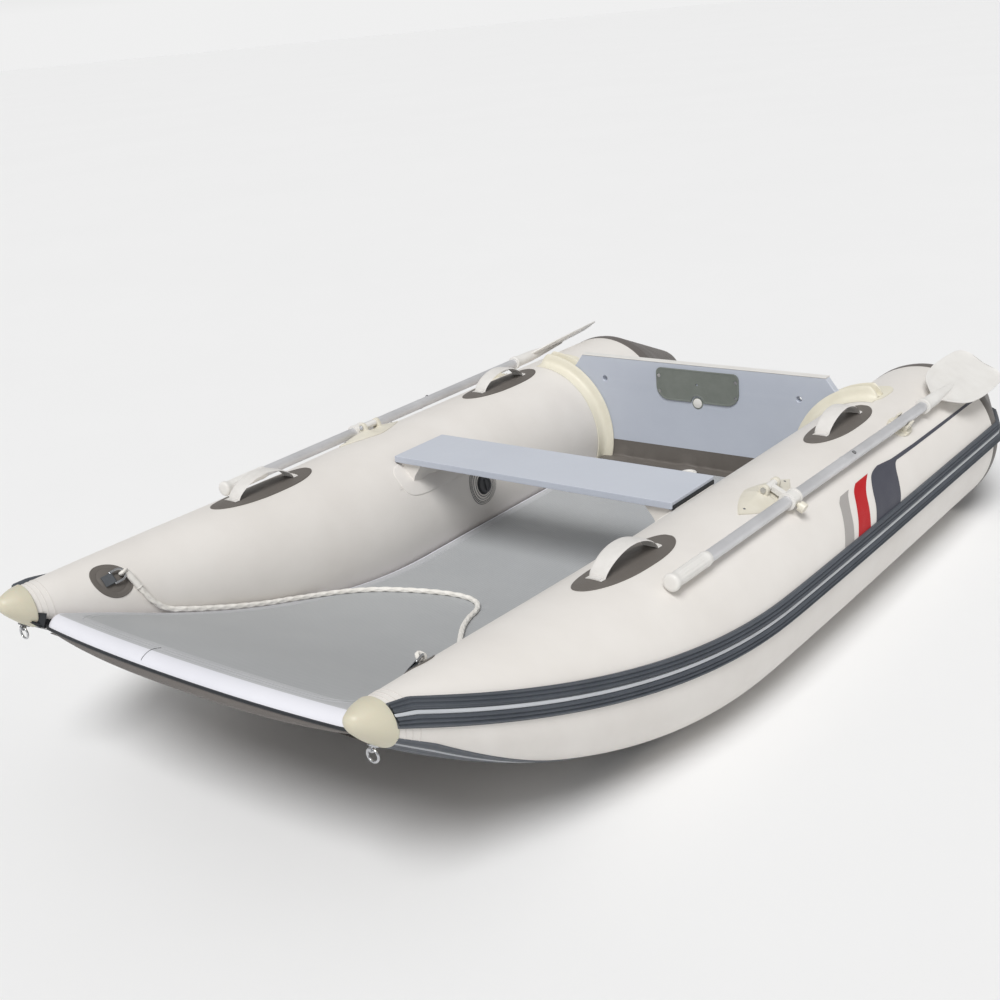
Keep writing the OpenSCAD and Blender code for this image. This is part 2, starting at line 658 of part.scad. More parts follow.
/* ---- Bow rope ---- */
// Hand-laid route along the deck between the two bow rings
rope_route = [[-445, -1135, 440], [-431, -1124, 410.5], [-414, -1108, 369], [-404, -1084, 338],
    [-399, -1062, 324], [-393, -1038, 315], [-384, -985, 296], [-372, -910, 271.5],
    [-362, -830, 247.5], [-354, -745, 225.5], [-338, -660, 206], [-308, -585, 191.5],
    [-262, -530, 182.5], [-205, -492, 177], [-140, -462, 173.2], [-80, -446, 171.4],
    [-28, -446, 171.4], [14, -466, 173.7], [44, -505, 179], [66, -560, 187.3],
    [98, -620, 198], [140, -680, 210.3], [190, -745, 225.5], [246, -815, 243.6],
    [302, -890, 265.2], [352, -965, 289.2], [384, -1038, 315], [396, -1062, 324],
    [404, -1084, 338], [414, -1108, 369], [431, -1124, 410.5], [445, -1135, 440]];
rope_sides = 8;
rope_steps = 2;
function catmull(p0, p1, p2, p3, t) =
    0.5 * ((2 * p1) + (p2 - p0) * t + (2 * p0 - 5 * p1 + 4 * p2 - p3) * t * t
        + (3 * p1 - p0 - 3 * p2 + p3) * t * t * t);
function smooth_route(r, steps) =
    let (n = len(r))
    concat([for (i = [0:n - 2]) for (s = [0:steps - 1])
        catmull(r[max(0, i - 1)], r[i], r[i + 1], r[min(n - 1, i + 2)], s / steps)], [r[n - 1]]);
function unit(v) = v / norm(v);
module swept_tube(path, r) {
    n = len(path);
    loft([for (i = [0:n - 1])
        let (d = unit(path[min(n - 1, i + 1)] - path[max(0, i - 1)]),
             u = unit(cross([0, 0, 1], d)),
             v = cross(u, d))
        [for (j = [0:rope_sides - 1])
            path[i] + r * (u * cos(360 * j / rope_sides) + v * sin(360 * j / rope_sides))]]);
}
// A knot draws each end of the rope to its ring
module rope_knots() {
    color(WHITE) both_sides() ring_frame()
        translate([ring_h + 3, 0, ring_bar_h + 1 + ring_h * sin(14)])
        sphere(r = rope_d * 1.05, $fn = 32);
}
module bow_rope() {
    color(WHITE) swept_tube(smooth_route(rope_route, rope_steps), rope_d / 2);
}

/* ---- Oarlocks ---- */
lock_a = 73;
lock_pin_h = 26;
pin_c = on_tube(lock_y, lock_a, lock_pin_h);
stub_l = 58;
lock_c = [pin_c[0] + stub_l * cos(27), lock_y, pin_c[2] - stub_l * sin(27)];
lug_gap = 44;
lug_t = 12;
lug_r = 12;
base_l = 216;
base_w = 92;
// Boat-shaped fairing glued to the tube
module lock_fairing() {
    rows = [[-0.5, 0.06, 0.02, 2], [-0.36, 0.55, 0.12, 9], [-0.2, 0.95, 0.5, 15],
        [-0.11, 1, 0.56, 16], [-0.1, 1, 0.6, 4], [0.1, 1, 0.6, 4], [0.11, 1, 0.56, 16],
        [0.2, 0.95, 0.5, 15], [0.36, 0.55, 0.12, 9], [0.5, 0.06, 0.02, 2]];
    loft([for (s = rows)
        let (y = lock_y + s[0] * base_l,
             turn = s[1] * base_w / 2 / tube_r0 * 180 / PI,
             top = s[2] * base_w / 2 / tube_r0 * 180 / PI)
        concat([for (a = [-turn]) on_tube(y, lock_a + a, seat_gap + 1.5)],
               [for (j = [-1:1]) on_tube(y, lock_a + top * j, seat_gap + s[3])],
               [for (a = [turn]) on_tube(y, lock_a + a, seat_gap + 1.5)],
               [for (j = [3:-1:-3]) on_tube(y, lock_a + turn * j / 3, seat_gap)])]);
}
module lock_lug(y) {
    translate([pin_c[0], y, pin_c[2]]) rotate([90, 0, 0]) linear_extrude(lug_t) rotate(lock_a - 90) {
        circle(r = lug_r);
        translate([-lug_r, -20]) square([2 * lug_r, 20]);
    }
}
module oarlock_base() {
    difference() {
        union() {
            lock_fairing();
            lock_lug(lock_y - lug_gap / 2);
            lock_lug(lock_y + lug_gap / 2 + lug_t);
        }
        translate([pin_c[0], lock_y, pin_c[2]]) rotate([90, 0, 0])
            cylinder(r = lock_pin_d / 2 + pin_gap, h = 120, center = true);
    }
}
module oarlock_bases() { color(IVORY) both_sides() oarlock_base(); }
module oarlock_pins() {
    l = lug_gap + 2 * lug_t;
    color(STEEL) both_sides() translate([pin_c[0], lock_y, pin_c[2]]) rotate([90, 0, 0]) {
        cylinder(r = lock_pin_d / 2, h = l + 1, center = true);
        translate([0, 0, l / 2 + seat_gap]) cylinder(r = lock_pin_d / 2 + 3, h = 2.5);
        translate([0, 0, -l / 2 - seat_gap - 2.5]) cylinder(r = lock_pin_d / 2 + 3, h = 2.5);
    }
}

/* ---- Oars ---- */
// The oar's own frame: origin at the lock, +Y towards the blade
module oar_frame() { translate(lock_c) rotate([0, 0, -oar_toe]) children(); }
collar_l = 40;
collar_r = shaft_d / 2 + 5.5;
grip_l = 150;
grip_end = -oar_inboard_l;
blade_y = oar_l - oar_inboard_l - blade_l;
// Swivel: barrel on the pin, a stub and a collar round the shaft
module oar_swivel() {
    barrel_r = 9;
    color(WHITE) difference() {
        union() {
            translate([pin_c[0], lock_y, pin_c[2]]) rotate([90, 0, 0])
                cylinder(r = barrel_r, h = lug_gap - 1, center = true);
            translate([pin_c[0], lock_y, pin_c[2]]) rotate([0, 27, 0])
                translate([0, -8, -6.5]) cube([stub_l - shaft_d / 2, 16, 13]);
            oar_frame() rotate([-90, 0, 0]) {
                cylinder(r = collar_r, h = collar_l, center = true);
                for (s = [-1, 1]) translate([0, 0, s * (collar_l / 2 - 3)])
                    cylinder(r = collar_r + 1.5, h = 6, center = true);
            }
        }
        translate([pin_c[0], lock_y, pin_c[2]]) rotate([90, 0, 0])
            cylinder(r = lock_pin_d / 2 + pin_gap, h = 80, center = true);
        oar_frame() rotate([-90, 0, 0])
            cylinder(r = shaft_d / 2 + 0.1, h = collar_l + 2, center = true);
    }
}
module port_oar_swivel() { on_side(1) oar_swivel(); }
module starboard_oar_swivel() { on_side(-1) oar_swivel(); }
// Clamp knob on the far side of the collar
module swivel_knob() {
    color(IVORY) translate(lock_c) rotate([0, 90 + 27, 0])
    translate([0, 0, collar_r + 0.2]) {
        cylinder(r = 6, h = 6);
        translate([0, 0, 6]) cylinder(r = 13, h = 15, $fn = 48);
    }
}
module port_swivel_knob() { on_side(1) swivel_knob(); }
module starboard_swivel_knob() { on_side(-1) swivel_knob(); }
button_y = 330;
button_r = 4;
button_lift = 2.5;
module oar_shaft() {
    y0 = grip_end + 12;
    y1 = blade_y + shaft_seat;
    color(ALLOY) oar_frame() difference() {
        translate([0, y0, 0]) rotate([-90, 0, 0]) cylinder(r = shaft_d / 2, h = y1 - y0);
        translate([0, y0 - 1, 0]) rotate([-90, 0, 0])
            cylinder(r = shaft_d / 2 - shaft_wall, h = y1 - y0 + 2);
        translate([0, button_y, 0]) rotate([0, 30, 0]) cylinder(r = button_r + 0.1, h = 40);
    }
}
module port_oar_shaft() { on_side(1) oar_shaft(); }
module starboard_oar_shaft() { on_side(-1) oar_shaft(); }
module oar_grip() {
    r = shaft_d / 2;
    color(WHITE) oar_frame() translate([0, grip_end, 0]) rotate([-90, 0, 0])
    rotate_extrude($fn = 64) polygon([[0, 0], [r + 3, 0], [r + 5.5, 3], [r + 5.5, 12],
        [r + 3, 22], [r + 2.5, grip_l - 8], [r + 1.5, grip_l], [r + 0.1, grip_l],
        [r + 0.1, 11.5], [0, 11.5]]);
}
module port_oar_grip() { on_side(1) oar_grip(); }
module starboard_oar_grip() { on_side(-1) oar_grip(); }
// Snap button that locks the two halves of the shaft
module oar_button() {
    color(STEEL) oar_frame() translate([0, button_y, 0]) rotate([0, 30, 0])
    translate([0, 0, shaft_d / 2 - shaft_wall - 4]) {
        cylinder(r = button_r, h = 4 + shaft_wall + button_lift);
        cylinder(r = button_r + 2, h = 2);
    }
}
module port_oar_button() { on_side(1) oar_button(); }
module starboard_oar_button() { on_side(-1) oar_button(); }
// Spoon blade with a socket over the shaft and a spine that runs out
blade_tilt = 29;
blade_t = 5;
socket_l = 86;
shaft_seat = 80;
spine_l = 290;
// Height of the blade's middle surface: it lifts towards the tip and the edges
function spoon(u, v) = 10 * u * u + 5 * v * v;
module oar_blade() {
    r = shaft_d / 2;
    rows = [[0.22, 15], [0.27, 40], [0.33, 62], [0.42, 77], [0.55, 83], [0.74, 84],
        [0.90, 80], [0.96, 72], [0.99, 58], [1, 44]];
    color(WHITE) oar_frame() translate([0, blade_y, 0]) rotate([0, blade_tilt, 0])
    union() {
        rotate([-90, 0, 0]) rotate_extrude($fn = 64) polygon([[r + 0.1, 0], [r + 6.5, 0],
            [r + 6.5, 12], [r + 4, 13], [r + 4, socket_l], [5, spine_l], [0, spine_l],
            [0, shaft_seat + 0.5], [r + 0.1, shaft_seat + 0.5]]);
        loft([for (s = rows)
            let (y = s[0] * blade_l, h = s[1] * blade_w / 168)
            concat([for (j = [-3:3]) [h * j / 3, y, spoon(s[0], j / 3) - blade_t / 2]],
                [for (j = [3:-1:-3]) [h * j / 3, y, spoon(s[0], j / 3) + blade_t / 2]])]);
    }
}
module port_oar_blade() { on_side(1) oar_blade(); }
module starboard_oar_blade() { on_side(-1) oar_blade(); }
// Open cradle that the stowed shaft rests in
holder_y = transom_y - 132;
module oar_holder() {
    dy = holder_y - lock_y;
    c = [lock_c[0] + dy * sin(oar_toe), holder_y, lock_c[2]];
    a = atan2(c[2] - tube_z0, c[0] - tube_x0);
    d = norm([c[0] - tube_x0, c[2] - tube_z0]) - tube_r0 - seat_gap;
    r = shaft_d / 2 + 2.5;
    c_h = d + r - shaft_d / 2 - seat_gap;
    wall = 5;
    tube_patch(holder_y, a, 96, 66, 3, roundness = 2.2);
    translate([tube_x0, holder_y, tube_z0]) rotate([0, 90 - a, 0])
    translate([0, 14, tube_r0 + seat_gap]) rotate([90, 0, 0]) linear_extrude(28)
    difference() {
        union() {
            translate([-r - wall, 1]) square([2 * (r + wall), c_h + 2]);
            translate([-r - 14, 1]) square([2 * r + 28, 4]);
        }
        translate([0, c_h]) circle(r = r);
        translate([-r, c_h]) square([2 * r, 40]);
    }
}
module oar_holders() { color(IVORY) both_sides() oar_holder(); }

/* ---- Valves ---- */
valve_y = bow_y + 1466;
valve_a = 169;
cap_screw_r = 24;
cap_t = 7;
flange_t = 5;
stem_r = 4;
// Threaded well with a spider that guides the sprung stem
module valve_well() {
    difference() {
        translate([0, 0, -22]) cylinder(r = cap_screw_r, h = 22 + flange_t);
        translate([0, 0, -23]) cylinder(r = cap_screw_r - 5, h = 40);
    }
    difference() {
        translate([0, 0, -20]) cylinder(r = cap_screw_r - 4, h = 2);
        translate([0, 0, -21]) cylinder(r = stem_r + pin_gap, h = 4);
        for (k = [0:2]) rotate(120 * k) translate([12, 0, -21]) cylinder(r = 4, h = 4);
    }
}
// Part of a sleeve round the tube, within r of the valve
module sleeve(r, h) {
    intersection() {
        translate([0, 0, -tube_r0 - seat_gap]) rotate([90, 0, 0]) difference() {
            cylinder(r = tube_r0 + seat_gap + h, h = 2 * valve_d, center = true, $fn = 96);
            cylinder(r = tube_r0 + seat_gap, h = 2 * valve_d + 2, center = true, $fn = 96);
        }
        translate([0, 0, -30]) cylinder(r = r, h = 60, $fn = 72);
    }
}
module tube_valve() {
    difference() {
        union() {
            sleeve(valve_d / 2, 1.2);
            sleeve(valve_d / 2 - 7, 2);
            sleeve(valve_d / 2 - 15, 2.8);
            translate([0, 0, 0.5]) cylinder(r = cap_screw_r + 3.5, h = flange_t - 0.5);
        }
        translate([0, 0, -23]) cylinder(r = cap_screw_r - 1, h = 40);
    }
    valve_well();
}
module flat_valve() {
    difference() {
        translate([0, 0, seat_gap]) cylinder(r = cap_screw_r + 7, h = flange_t - seat_gap);
        translate([0, 0, -23]) cylinder(r = cap_screw_r - 1, h = 40);
    }
    valve_well();
}
module valve_cap() {
    translate([0, 0, flange_t + seat_gap])
    rotate_extrude($fn = 64) polygon([[0, 0], [cap_screw_r, 0], [cap_screw_r + 1, 1],
        [cap_screw_r + 1, cap_t - 2], [cap_screw_r - 1, cap_t], [cap_screw_r - 6, cap_t],
        [cap_screw_r - 7, cap_t - 2.5], [0, cap_t - 2.5]]);
    translate([-cap_screw_r + 8, -2.5, flange_t + seat_gap + cap_t - 3])
        cube([2 * cap_screw_r - 16, 5, 4]);
}
module valve_stem() {
    translate([0, 0, -24]) cylinder(r = stem_r, h = 22);
    translate([0, 0, -22 - seat_gap - 3]) cylinder(r = cap_screw_r - 2, h = 3);
    translate([0, 0, -5]) cylinder(r = 7, h = 3);
}
module at_tube_valve() {
    stand_on_tube(valve_y, valve_a, seat_gap) children();
}
module tube_valves() { color(SLATE) both_sides() at_tube_valve() tube_valve(); }
module port_valve_cap() { color(TAUPE) on_side(1) at_tube_valve() valve_cap(); }
module starboard_valve_cap() { color(TAUPE) on_side(-1) at_tube_valve() valve_cap(); }
module port_valve_stem() { color(SLATE) on_side(1) at_tube_valve() valve_stem(); }
module starboard_valve_stem() { color(SLATE) on_side(-1) at_tube_valve() valve_stem(); }
module at_deck_valve() { translate([0, deck_valve_y, deck_top]) children(); }
module deck_valve() { color(SLATE) at_deck_valve() flat_valve(); }
module deck_valve_cap() { color(WHITE) at_deck_valve() valve_cap(); }
module deck_valve_stem() { color(SLATE) at_deck_valve() valve_stem(); }

/* ---- Tow eyes and rings ---- */
tow_y = tip_y + 30;
tow_wire_r = 2.5;
tow_r = 13;
tow_eye_r = 7;
tow_eye_w = 6;
function cap_bottom(y) = tube_z(y) - tube_r(y) - 2;
tow_slope = atan((cap_bottom(tow_y + 2) - cap_bottom(tow_y - 2)) / 4);
// The eye hangs under the nose cap, and the ring passes through it
module at_tow_eye() {
    translate([tube_x(tow_y), tow_y, cap_bottom(tow_y)]) rotate([tow_slope, 0, 0])
    translate([0, 0, -tow_eye_r - seat_gap]) rotate([-tow_slope, 0, 0]) children();
}
module tow_eye() {
    at_tow_eye() rotate([tow_slope, 0, 0]) difference() {
        union() {
            rotate([0, 90, 0]) cylinder(r = tow_eye_r, h = tow_eye_w, center = true);
            translate([-tow_eye_w / 2, -14, tow_eye_r - 3]) cube([tow_eye_w, 28, 3]);
            translate([-tow_eye_w / 2, -6, 0]) cube([tow_eye_w, 12, tow_eye_r]);
        }
        rotate([0, 90, 0]) cylinder(r = tow_wire_r + 0.6, h = 12, center = true);
    }
}
module tow_eyes() { color(STEEL) both_sides() tow_eye(); }
module tow_ring() {
    color(STEEL) at_tow_eye() rotate([90, 0, 0]) translate([0, -tow_r, 0])
        rotate_extrude($fn = 48) translate([tow_r, 0]) circle(r = tow_wire_r, $fn = 24);
}
module port_tow_ring() { on_side(1) tow_ring(); }
module starboard_tow_ring() { on_side(-1) tow_ring(); }

port_tube();
starboard_tube();
port_nose_cap();
starboard_nose_cap();
port_stern_cone();
starboard_stern_cone();
port_rub_strake();
starboard_rub_strake();
keel_strips();
air_deck();
deck_tail_panel();
bottom_skin();
bow_gussets();
transom_board();
transom_edge_trim();
port_transom_holder();
starboard_transom_holder();
inner_motor_plate();
outer_motor_plate();
motor_plate_bolts();
transom_flap();
seat_brackets();
handle_patches();
fore_handle_straps();
aft_handle_straps();
ring_patches();
ring_webbing();
bow_rings();
bow_rope();
rope_knots();
oarlock_bases();
oarlock_pins();
oar_holders();
tube_valves();
deck_valve();
tow_eyes();
port_tow_ring();
starboard_tow_ring();
seat_board();
seat_end_clips();
port_valve_cap();
starboard_valve_cap();
deck_valve_cap();
port_valve_stem();
starboard_valve_stem();
deck_valve_stem();
port_oar_swivel();
port_swivel_knob();
port_oar_shaft();
port_oar_grip();
port_oar_blade();
port_oar_button();
starboard_oar_swivel();
starboard_swivel_knob();
starboard_oar_shaft();
starboard_oar_grip();
starboard_oar_blade();
starboard_oar_button();
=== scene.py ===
"""Inflatable catamaran dinghy: the looks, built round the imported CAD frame. Metres, +Z up, bow at -Y."""
import math

import bmesh
import bpy
import numpy as np
from mathutils import Matrix, Vector
from mathutils.geometry import tessellate_polygon


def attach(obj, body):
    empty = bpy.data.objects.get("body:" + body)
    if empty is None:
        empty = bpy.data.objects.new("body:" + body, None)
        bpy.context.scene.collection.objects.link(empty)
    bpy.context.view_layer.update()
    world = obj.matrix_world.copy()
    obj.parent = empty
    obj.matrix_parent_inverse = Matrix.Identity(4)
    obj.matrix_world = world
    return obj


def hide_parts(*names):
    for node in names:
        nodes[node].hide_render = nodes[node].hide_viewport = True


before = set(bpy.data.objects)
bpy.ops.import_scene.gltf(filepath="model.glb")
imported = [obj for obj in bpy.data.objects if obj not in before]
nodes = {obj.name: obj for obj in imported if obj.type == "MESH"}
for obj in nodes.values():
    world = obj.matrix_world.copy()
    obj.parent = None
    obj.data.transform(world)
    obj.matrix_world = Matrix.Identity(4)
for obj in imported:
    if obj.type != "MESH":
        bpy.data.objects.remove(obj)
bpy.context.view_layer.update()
SIDES = {"port": 1, "starboard": -1}

# ---------------------------------------------------------------- hull form
MM = 0.001
BOAT_L = 2.850
BOW_Y, STERN_Y = -BOAT_L / 2, BOAT_L / 2
NOSE_R = 0.031
TIP_Y = BOW_Y + NOSE_R
CAP_Y = TIP_Y + 0.054
TUBE_R = 0.219
TUBE_X = 0.570
KEEL_T = 0.003
TUBE_Z = TUBE_R + KEEL_T
BOW_RISE, BOW_TOE_IN = 0.223, 0.052
SWEEP_L, RISE_L, TAPER_L = 1.760, 1.079, 1.156
CONE_L, CONE_END_R, CONE_ROUND = 0.378, 0.062, 0.026
TUBE_END_Y = STERN_Y - CONE_L
DECK_TOP, DECK_T, DECK_RISE, DECK_RAMP_L = 0.153, 0.060, 0.308, 1.150
TRANSOM_Y = STERN_Y - 0.733
TRANSOM_T = 0.025
SEAT_Y = BOW_Y + 1.306


def ramp(y, length, power):
    return np.maximum(0.0, (TIP_Y + length - y) / length) ** power


def tube_x(y):
    return TUBE_X - BOW_TOE_IN * ramp(y, SWEEP_L, 2.39)


def tube_z(y):
    return TUBE_Z + BOW_RISE * ramp(y, RISE_L, 1.92)


def tube_r(y):
    return TUBE_R + (NOSE_R - TUBE_R) * ramp(y, TAPER_L, 2.15)


def cone_r(y):
    """Radius of the stern cone: a rounded shoulder, then a straight taper."""
    s = np.asarray(y, float) - TUBE_END_Y
    shoulder = TUBE_R - 0.003 * (np.clip(s, 0, CONE_ROUND) / CONE_ROUND) ** 2
    taper = (TUBE_R - 0.003 - CONE_END_R - 0.016) * (s - CONE_ROUND) / (CONE_L - CONE_ROUND - 0.012)
    return np.where(s < CONE_ROUND, shoulder, TUBE_R - 0.003 - taper)


def hull_r(y):
    return np.where(np.asarray(y) < TUBE_END_Y, tube_r(y), cone_r(y))


def on_tube(side, y, a, off=0.0):
    """Points on a tube at station y and angle a in degrees up from outboard, off metres above it."""
    y, a, off = np.broadcast_arrays(np.asarray(y, float), np.radians(a), np.asarray(off, float))
    r = hull_r(y) + off
    return np.stack([side * (tube_x(y) + r * np.cos(a)), y, tube_z(y) + r * np.sin(a)], -1)


def tube_frame(side, y, a, off=0.0):
    """Matrix of a frame on the tube: X aft, Z along the outward normal."""
    p = Vector(on_tube(side, y, a, off))
    n = Vector((side * math.cos(math.radians(a)), 0, math.sin(math.radians(a))))
    x = Vector((0, 1, 0))
    m = Matrix((x, n.cross(x), n)).transposed().to_4x4()
    m.translation = p
    return m


def deck_z(y):
    return DECK_TOP + DECK_RISE * ramp(y, DECK_RAMP_L, 1.85)


def deck_slope(y):
    return np.arctan((deck_z(y - 0.005) - deck_z(y + 0.005)) / 0.010)


def in_deck(x, y, depth):
    """A point of the deck at a depth below its top surface, measured square to it."""
    x, y, depth = np.broadcast_arrays(*(np.asarray(v, float) for v in (x, y, depth)))
    return np.stack([x, y - depth * np.sin(deck_slope(y)), deck_z(y) - depth * np.cos(deck_slope(y))], -1)


def tube_in(y, z):
    """Distance from the middle to a tube's inner side at height z."""
    drop = np.minimum(0, z - tube_z(y))
    return tube_x(y) - np.sqrt(np.maximum(0, tube_r(y) ** 2 - drop ** 2))


def deck_half(y):
    return tube_in(y, deck_z(y) - 0.012) - 0.0025


def ease(lo, hi, n):
    """n stations from lo to hi, closer together at both ends."""
    return (lo + hi) / 2 - (hi - lo) / 2 * np.cos(np.linspace(0, math.pi, n))


# ---------------------------------------------------------------- materials
def tone(code):
    """Linear colour of an sRGB hex code."""
    parts = [int(code[i:i + 2], 16) / 255 for i in (0, 2, 4)]
    return tuple(c / 12.92 if c <= 0.04045 else ((c + 0.055) / 1.055) ** 2.4 for c in parts) + (1,)


def socket_value(bsdf, name, value):
    bsdf.inputs[name].default_value = value


class Finish:
    """A principled material with procedural colour, roughness and bump."""

    def __init__(self, name, colour, rough, metallic=0.0, uv=False):
        self.material = bpy.data.materials.new(name)
        self.material.use_nodes = True
        self.tree = self.material.node_tree
        self.bsdf = self.tree.nodes["Principled BSDF"]
        self.coord = self.add("ShaderNodeTexCoord").outputs["UV" if uv else "Object"]
        self.colour = tone(colour)
        self.normal = None
        socket_value(self.bsdf, "Metallic", metallic)
        socket_value(self.bsdf, "Base Color", self.colour)
        socket_value(self.bsdf, "Roughness", rough)
        self.rough = rough
        self.paint = None

    def add(self, kind, **settings):
        node = self.tree.nodes.new(kind)
        for key, value in settings.items():
            setattr(node, key, value)
        return node

    def link(self, a, b):
        self.tree.links.new(a, b)

    def noise(self, size, detail=3.0, stretch=(1, 1, 1), roughness=0.55):
        """Noise whose blobs are about size metres across."""
        mapping = self.add("ShaderNodeMapping")
        mapping.inputs["Scale"].default_value = stretch
        self.link(self.coord, mapping.inputs["Vector"])
        node = self.add("ShaderNodeTexNoise")
        node.inputs["Scale"].default_value = 1 / size
        node.inputs["Detail"].default_value = detail
        node.inputs["Roughness"].default_value = roughness
        self.link(mapping.outputs[0], node.inputs["Vector"])
        return node.outputs["Fac"]

    def bands(self, pitch, direction, profile="SIN"):
        """Straight bands of that pitch in metres."""
        node = self.add("ShaderNodeTexWave", wave_type="BANDS", bands_direction=direction,
                        wave_profile=profile)
        node.inputs["Scale"].default_value = math.pi / 10 / pitch
        self.link(self.coord, node.inputs["Vector"])
        return node.outputs["Fac"]

    def blend(self, fac, low, high, lo=0.35, hi=0.65):
        """Colour or value that goes from low to high as fac goes from lo to hi."""
        node = self.add("ShaderNodeMapRange")
        node.inputs["From Min"].default_value = lo
        node.inputs["From Max"].default_value = hi
        node.inputs["To Min"].default_value = low
        node.inputs["To Max"].default_value = high
        self.link(fac, node.inputs["Value"])
        return node.outputs["Result"]

    def mix(self, fac, a, b):
        node = self.add("ShaderNodeMix", data_type="RGBA")
        self.link(fac, node.inputs["Factor"])
        for value, socket in ((a, node.inputs[6]), (b, node.inputs[7])):
            if isinstance(value, tuple):
                socket.default_value = value
            else:
                self.link(value, socket)
        return node.outputs[2]

    def paint_with(self, fac, other, amount=1.0, lo=0.35, hi=0.65):
        """Lays another colour over the base where fac is high."""
        base = self.paint if self.paint is not None else self.colour
        other = tone(other) if isinstance(other, str) else other
        self.paint = self.mix(self.blend(fac, 0, amount, lo, hi), base, other)
        self.link(self.paint, self.bsdf.inputs["Base Color"])
        return self

    def mottle(self, size, darker, amount=0.5):
        """Cloudy colour variation, and roughness that follows a finer noise."""
        self.paint_with(self.noise(size, 4), darker, amount)
        grime = self.noise(size / 7, 3)
        self.link(self.blend(grime, self.rough - 0.05, self.rough + 0.07, 0.3, 0.7),
                  self.bsdf.inputs["Roughness"])
        return self

    def emboss(self, height, depth, strength=1.0):
        """Adds a bump of that depth in metres."""
        node = self.add("ShaderNodeBump")
        node.inputs["Distance"].default_value = depth
        node.inputs["Strength"].default_value = strength
        self.link(height, node.inputs["Height"])
        if self.normal is not None:
            self.link(self.normal, node.inputs["Normal"])
        self.normal = node.outputs["Normal"]
        self.link(self.normal, self.bsdf.inputs["Normal"])
        return self

    def weave(self, pitch, depth):
        return self.emboss(self.bands(pitch, "X"), depth).emboss(self.bands(pitch, "Y"), depth)

    def worn(self, colour, amount=0.5, lo=0.52, hi=0.6):
        """Paler wear along convex edges."""
        edge = self.add("ShaderNodeNewGeometry").outputs["Pointiness"]
        return self.paint_with(edge, colour, amount, lo, hi)

    def set(self, **values):
        for key, value in values.items():
            socket_value(self.bsdf, key.replace("_", " "), value)
        return self


def coated_fabric(name, colour, darker, rough=0.4):
    """PVC-coated fabric: a faint weave shows through a satin skin, with slight puckers."""
    f = Finish(name, colour, rough, uv=True).mottle(0.30, darker, 0.55)
    f.emboss(f.noise(0.11, 2), 0.0010, 0.35).weave(0.0016, 0.00005)
    return f.set(Specular_IOR_Level=0.28)


PVC = coated_fabric("pvc_white", "E9E5E0", "DDD8D2", 0.40).material
PVC_SEAM = coated_fabric("pvc_seam", "E1DDD8", "D5D0CA", 0.45).material
IVORY = Finish("ivory_rubber", "D0CAB5", 0.42).mottle(0.05, "CDC7B1", 0.5)
IVORY = IVORY.emboss(IVORY.noise(0.004, 2), 0.0002, 0.4).set(Subsurface_Weight=0.05).material
# painted light: the caps' ivory rubber made lighter for the transom holders, standing for the light that falls on
# their upward faces
IVORY_PAINTED_LIGHT = Finish("ivory_rubber_painted_light", "E8E3D2", 0.42).mottle(0.06, "DDD7C4", 0.5)
IVORY_PAINTED_LIGHT = IVORY_PAINTED_LIGHT.emboss(IVORY_PAINTED_LIGHT.noise(0.004, 2), 0.0002, 0.4).material
TAUPE = coated_fabric("pvc_taupe", "6F6A66", "635E5B", 0.47).material
TAUPE_DARK = coated_fabric("pvc_taupe_dark", "6E6964", "625D58", 0.5).material
SLATE = Finish("strake_rubber", "52575E", 0.5).mottle(0.08, "474C53", 0.6).worn("7B8087", 0.35)
SLATE = SLATE.emboss(SLATE.noise(0.003, 2), 0.0002, 0.5).material
STRIPE_LIGHT = Finish("strake_stripe", "C4C7CB", 0.45).mottle(0.1, "B6B9BD", 0.5).material
KEEL_LIGHT = Finish("keel_line", "AEB1B5", 0.5).mottle(0.1, "9FA2A6", 0.5).material
BLACK = Finish("black_rubber", "23262A", 0.55).mottle(0.02, "1A1C1F", 0.6)
BLACK = BLACK.emboss(BLACK.noise(0.002, 2), 0.0002, 0.5).material
WEB_WHITE = Finish("webbing_white", "E6E3DF", 0.62, uv=True).mottle(0.03, "D9D6D1", 0.5)
WEB_WHITE = WEB_WHITE.weave(0.0022, 0.00025).set(Sheen_Weight=0.15).material
WEB_DARK = Finish("webbing_slate", "55585C", 0.65, uv=True).mottle(0.02, "484B4F", 0.5)
WEB_DARK = WEB_DARK.weave(0.0018, 0.00025).material
THREAD = Finish("thread", "D8D4CE", 0.7).mottle(0.004, "C9C5BF", 0.5).material
THREAD_DARK = Finish("thread_dark", "3E3D3E", 0.7).mottle(0.004, "333233", 0.5).material
ROPE = Finish("rope_white", "EDEAE4", 0.68).mottle(0.02, "DDD9D1", 0.6)
ROPE = ROPE.emboss(ROPE.noise(0.0012, 2), 0.0003, 0.6).set(Sheen_Weight=0.2).material
PLASTIC = Finish("white_plastic", "EAE8E4", 0.35).mottle(0.06, "DFDCD7", 0.5)
PLASTIC = PLASTIC.emboss(PLASTIC.noise(0.0015, 2), 0.00006, 0.5).material
IVORY_PLASTIC = Finish("ivory_plastic", "E2DDCF", 0.38).mottle(0.05, "D6D0BF", 0.5)
IVORY_PLASTIC = IVORY_PLASTIC.emboss(IVORY_PLASTIC.noise(0.002, 2), 0.0001, 0.5).material
VALVE = Finish("valve_grey", "4C4D50", 0.45).mottle(0.02, "404144", 0.5)
VALVE = VALVE.emboss(VALVE.noise(0.002, 2), 0.0001, 0.5).material
PLATE = Finish("plate_green_grey", "7A7F79", 0.5).mottle(0.03, "6D726C", 0.5).worn("979C96", 0.4)
PLATE = PLATE.emboss(PLATE.noise(0.0016, 2), 0.00015, 0.6).material
STEEL = Finish("stainless", "C9CACC", 0.22, metallic=1.0).mottle(0.01, "B5B6B9", 0.5)
STEEL = STEEL.emboss(STEEL.noise(0.002, 2, (1, 8, 1)), 0.00004, 0.4).material
ALLOY = Finish("anodised_alloy", "DCDCDE", 0.42, metallic=0.45).mottle(0.12, "C2C2C4", 0.5)
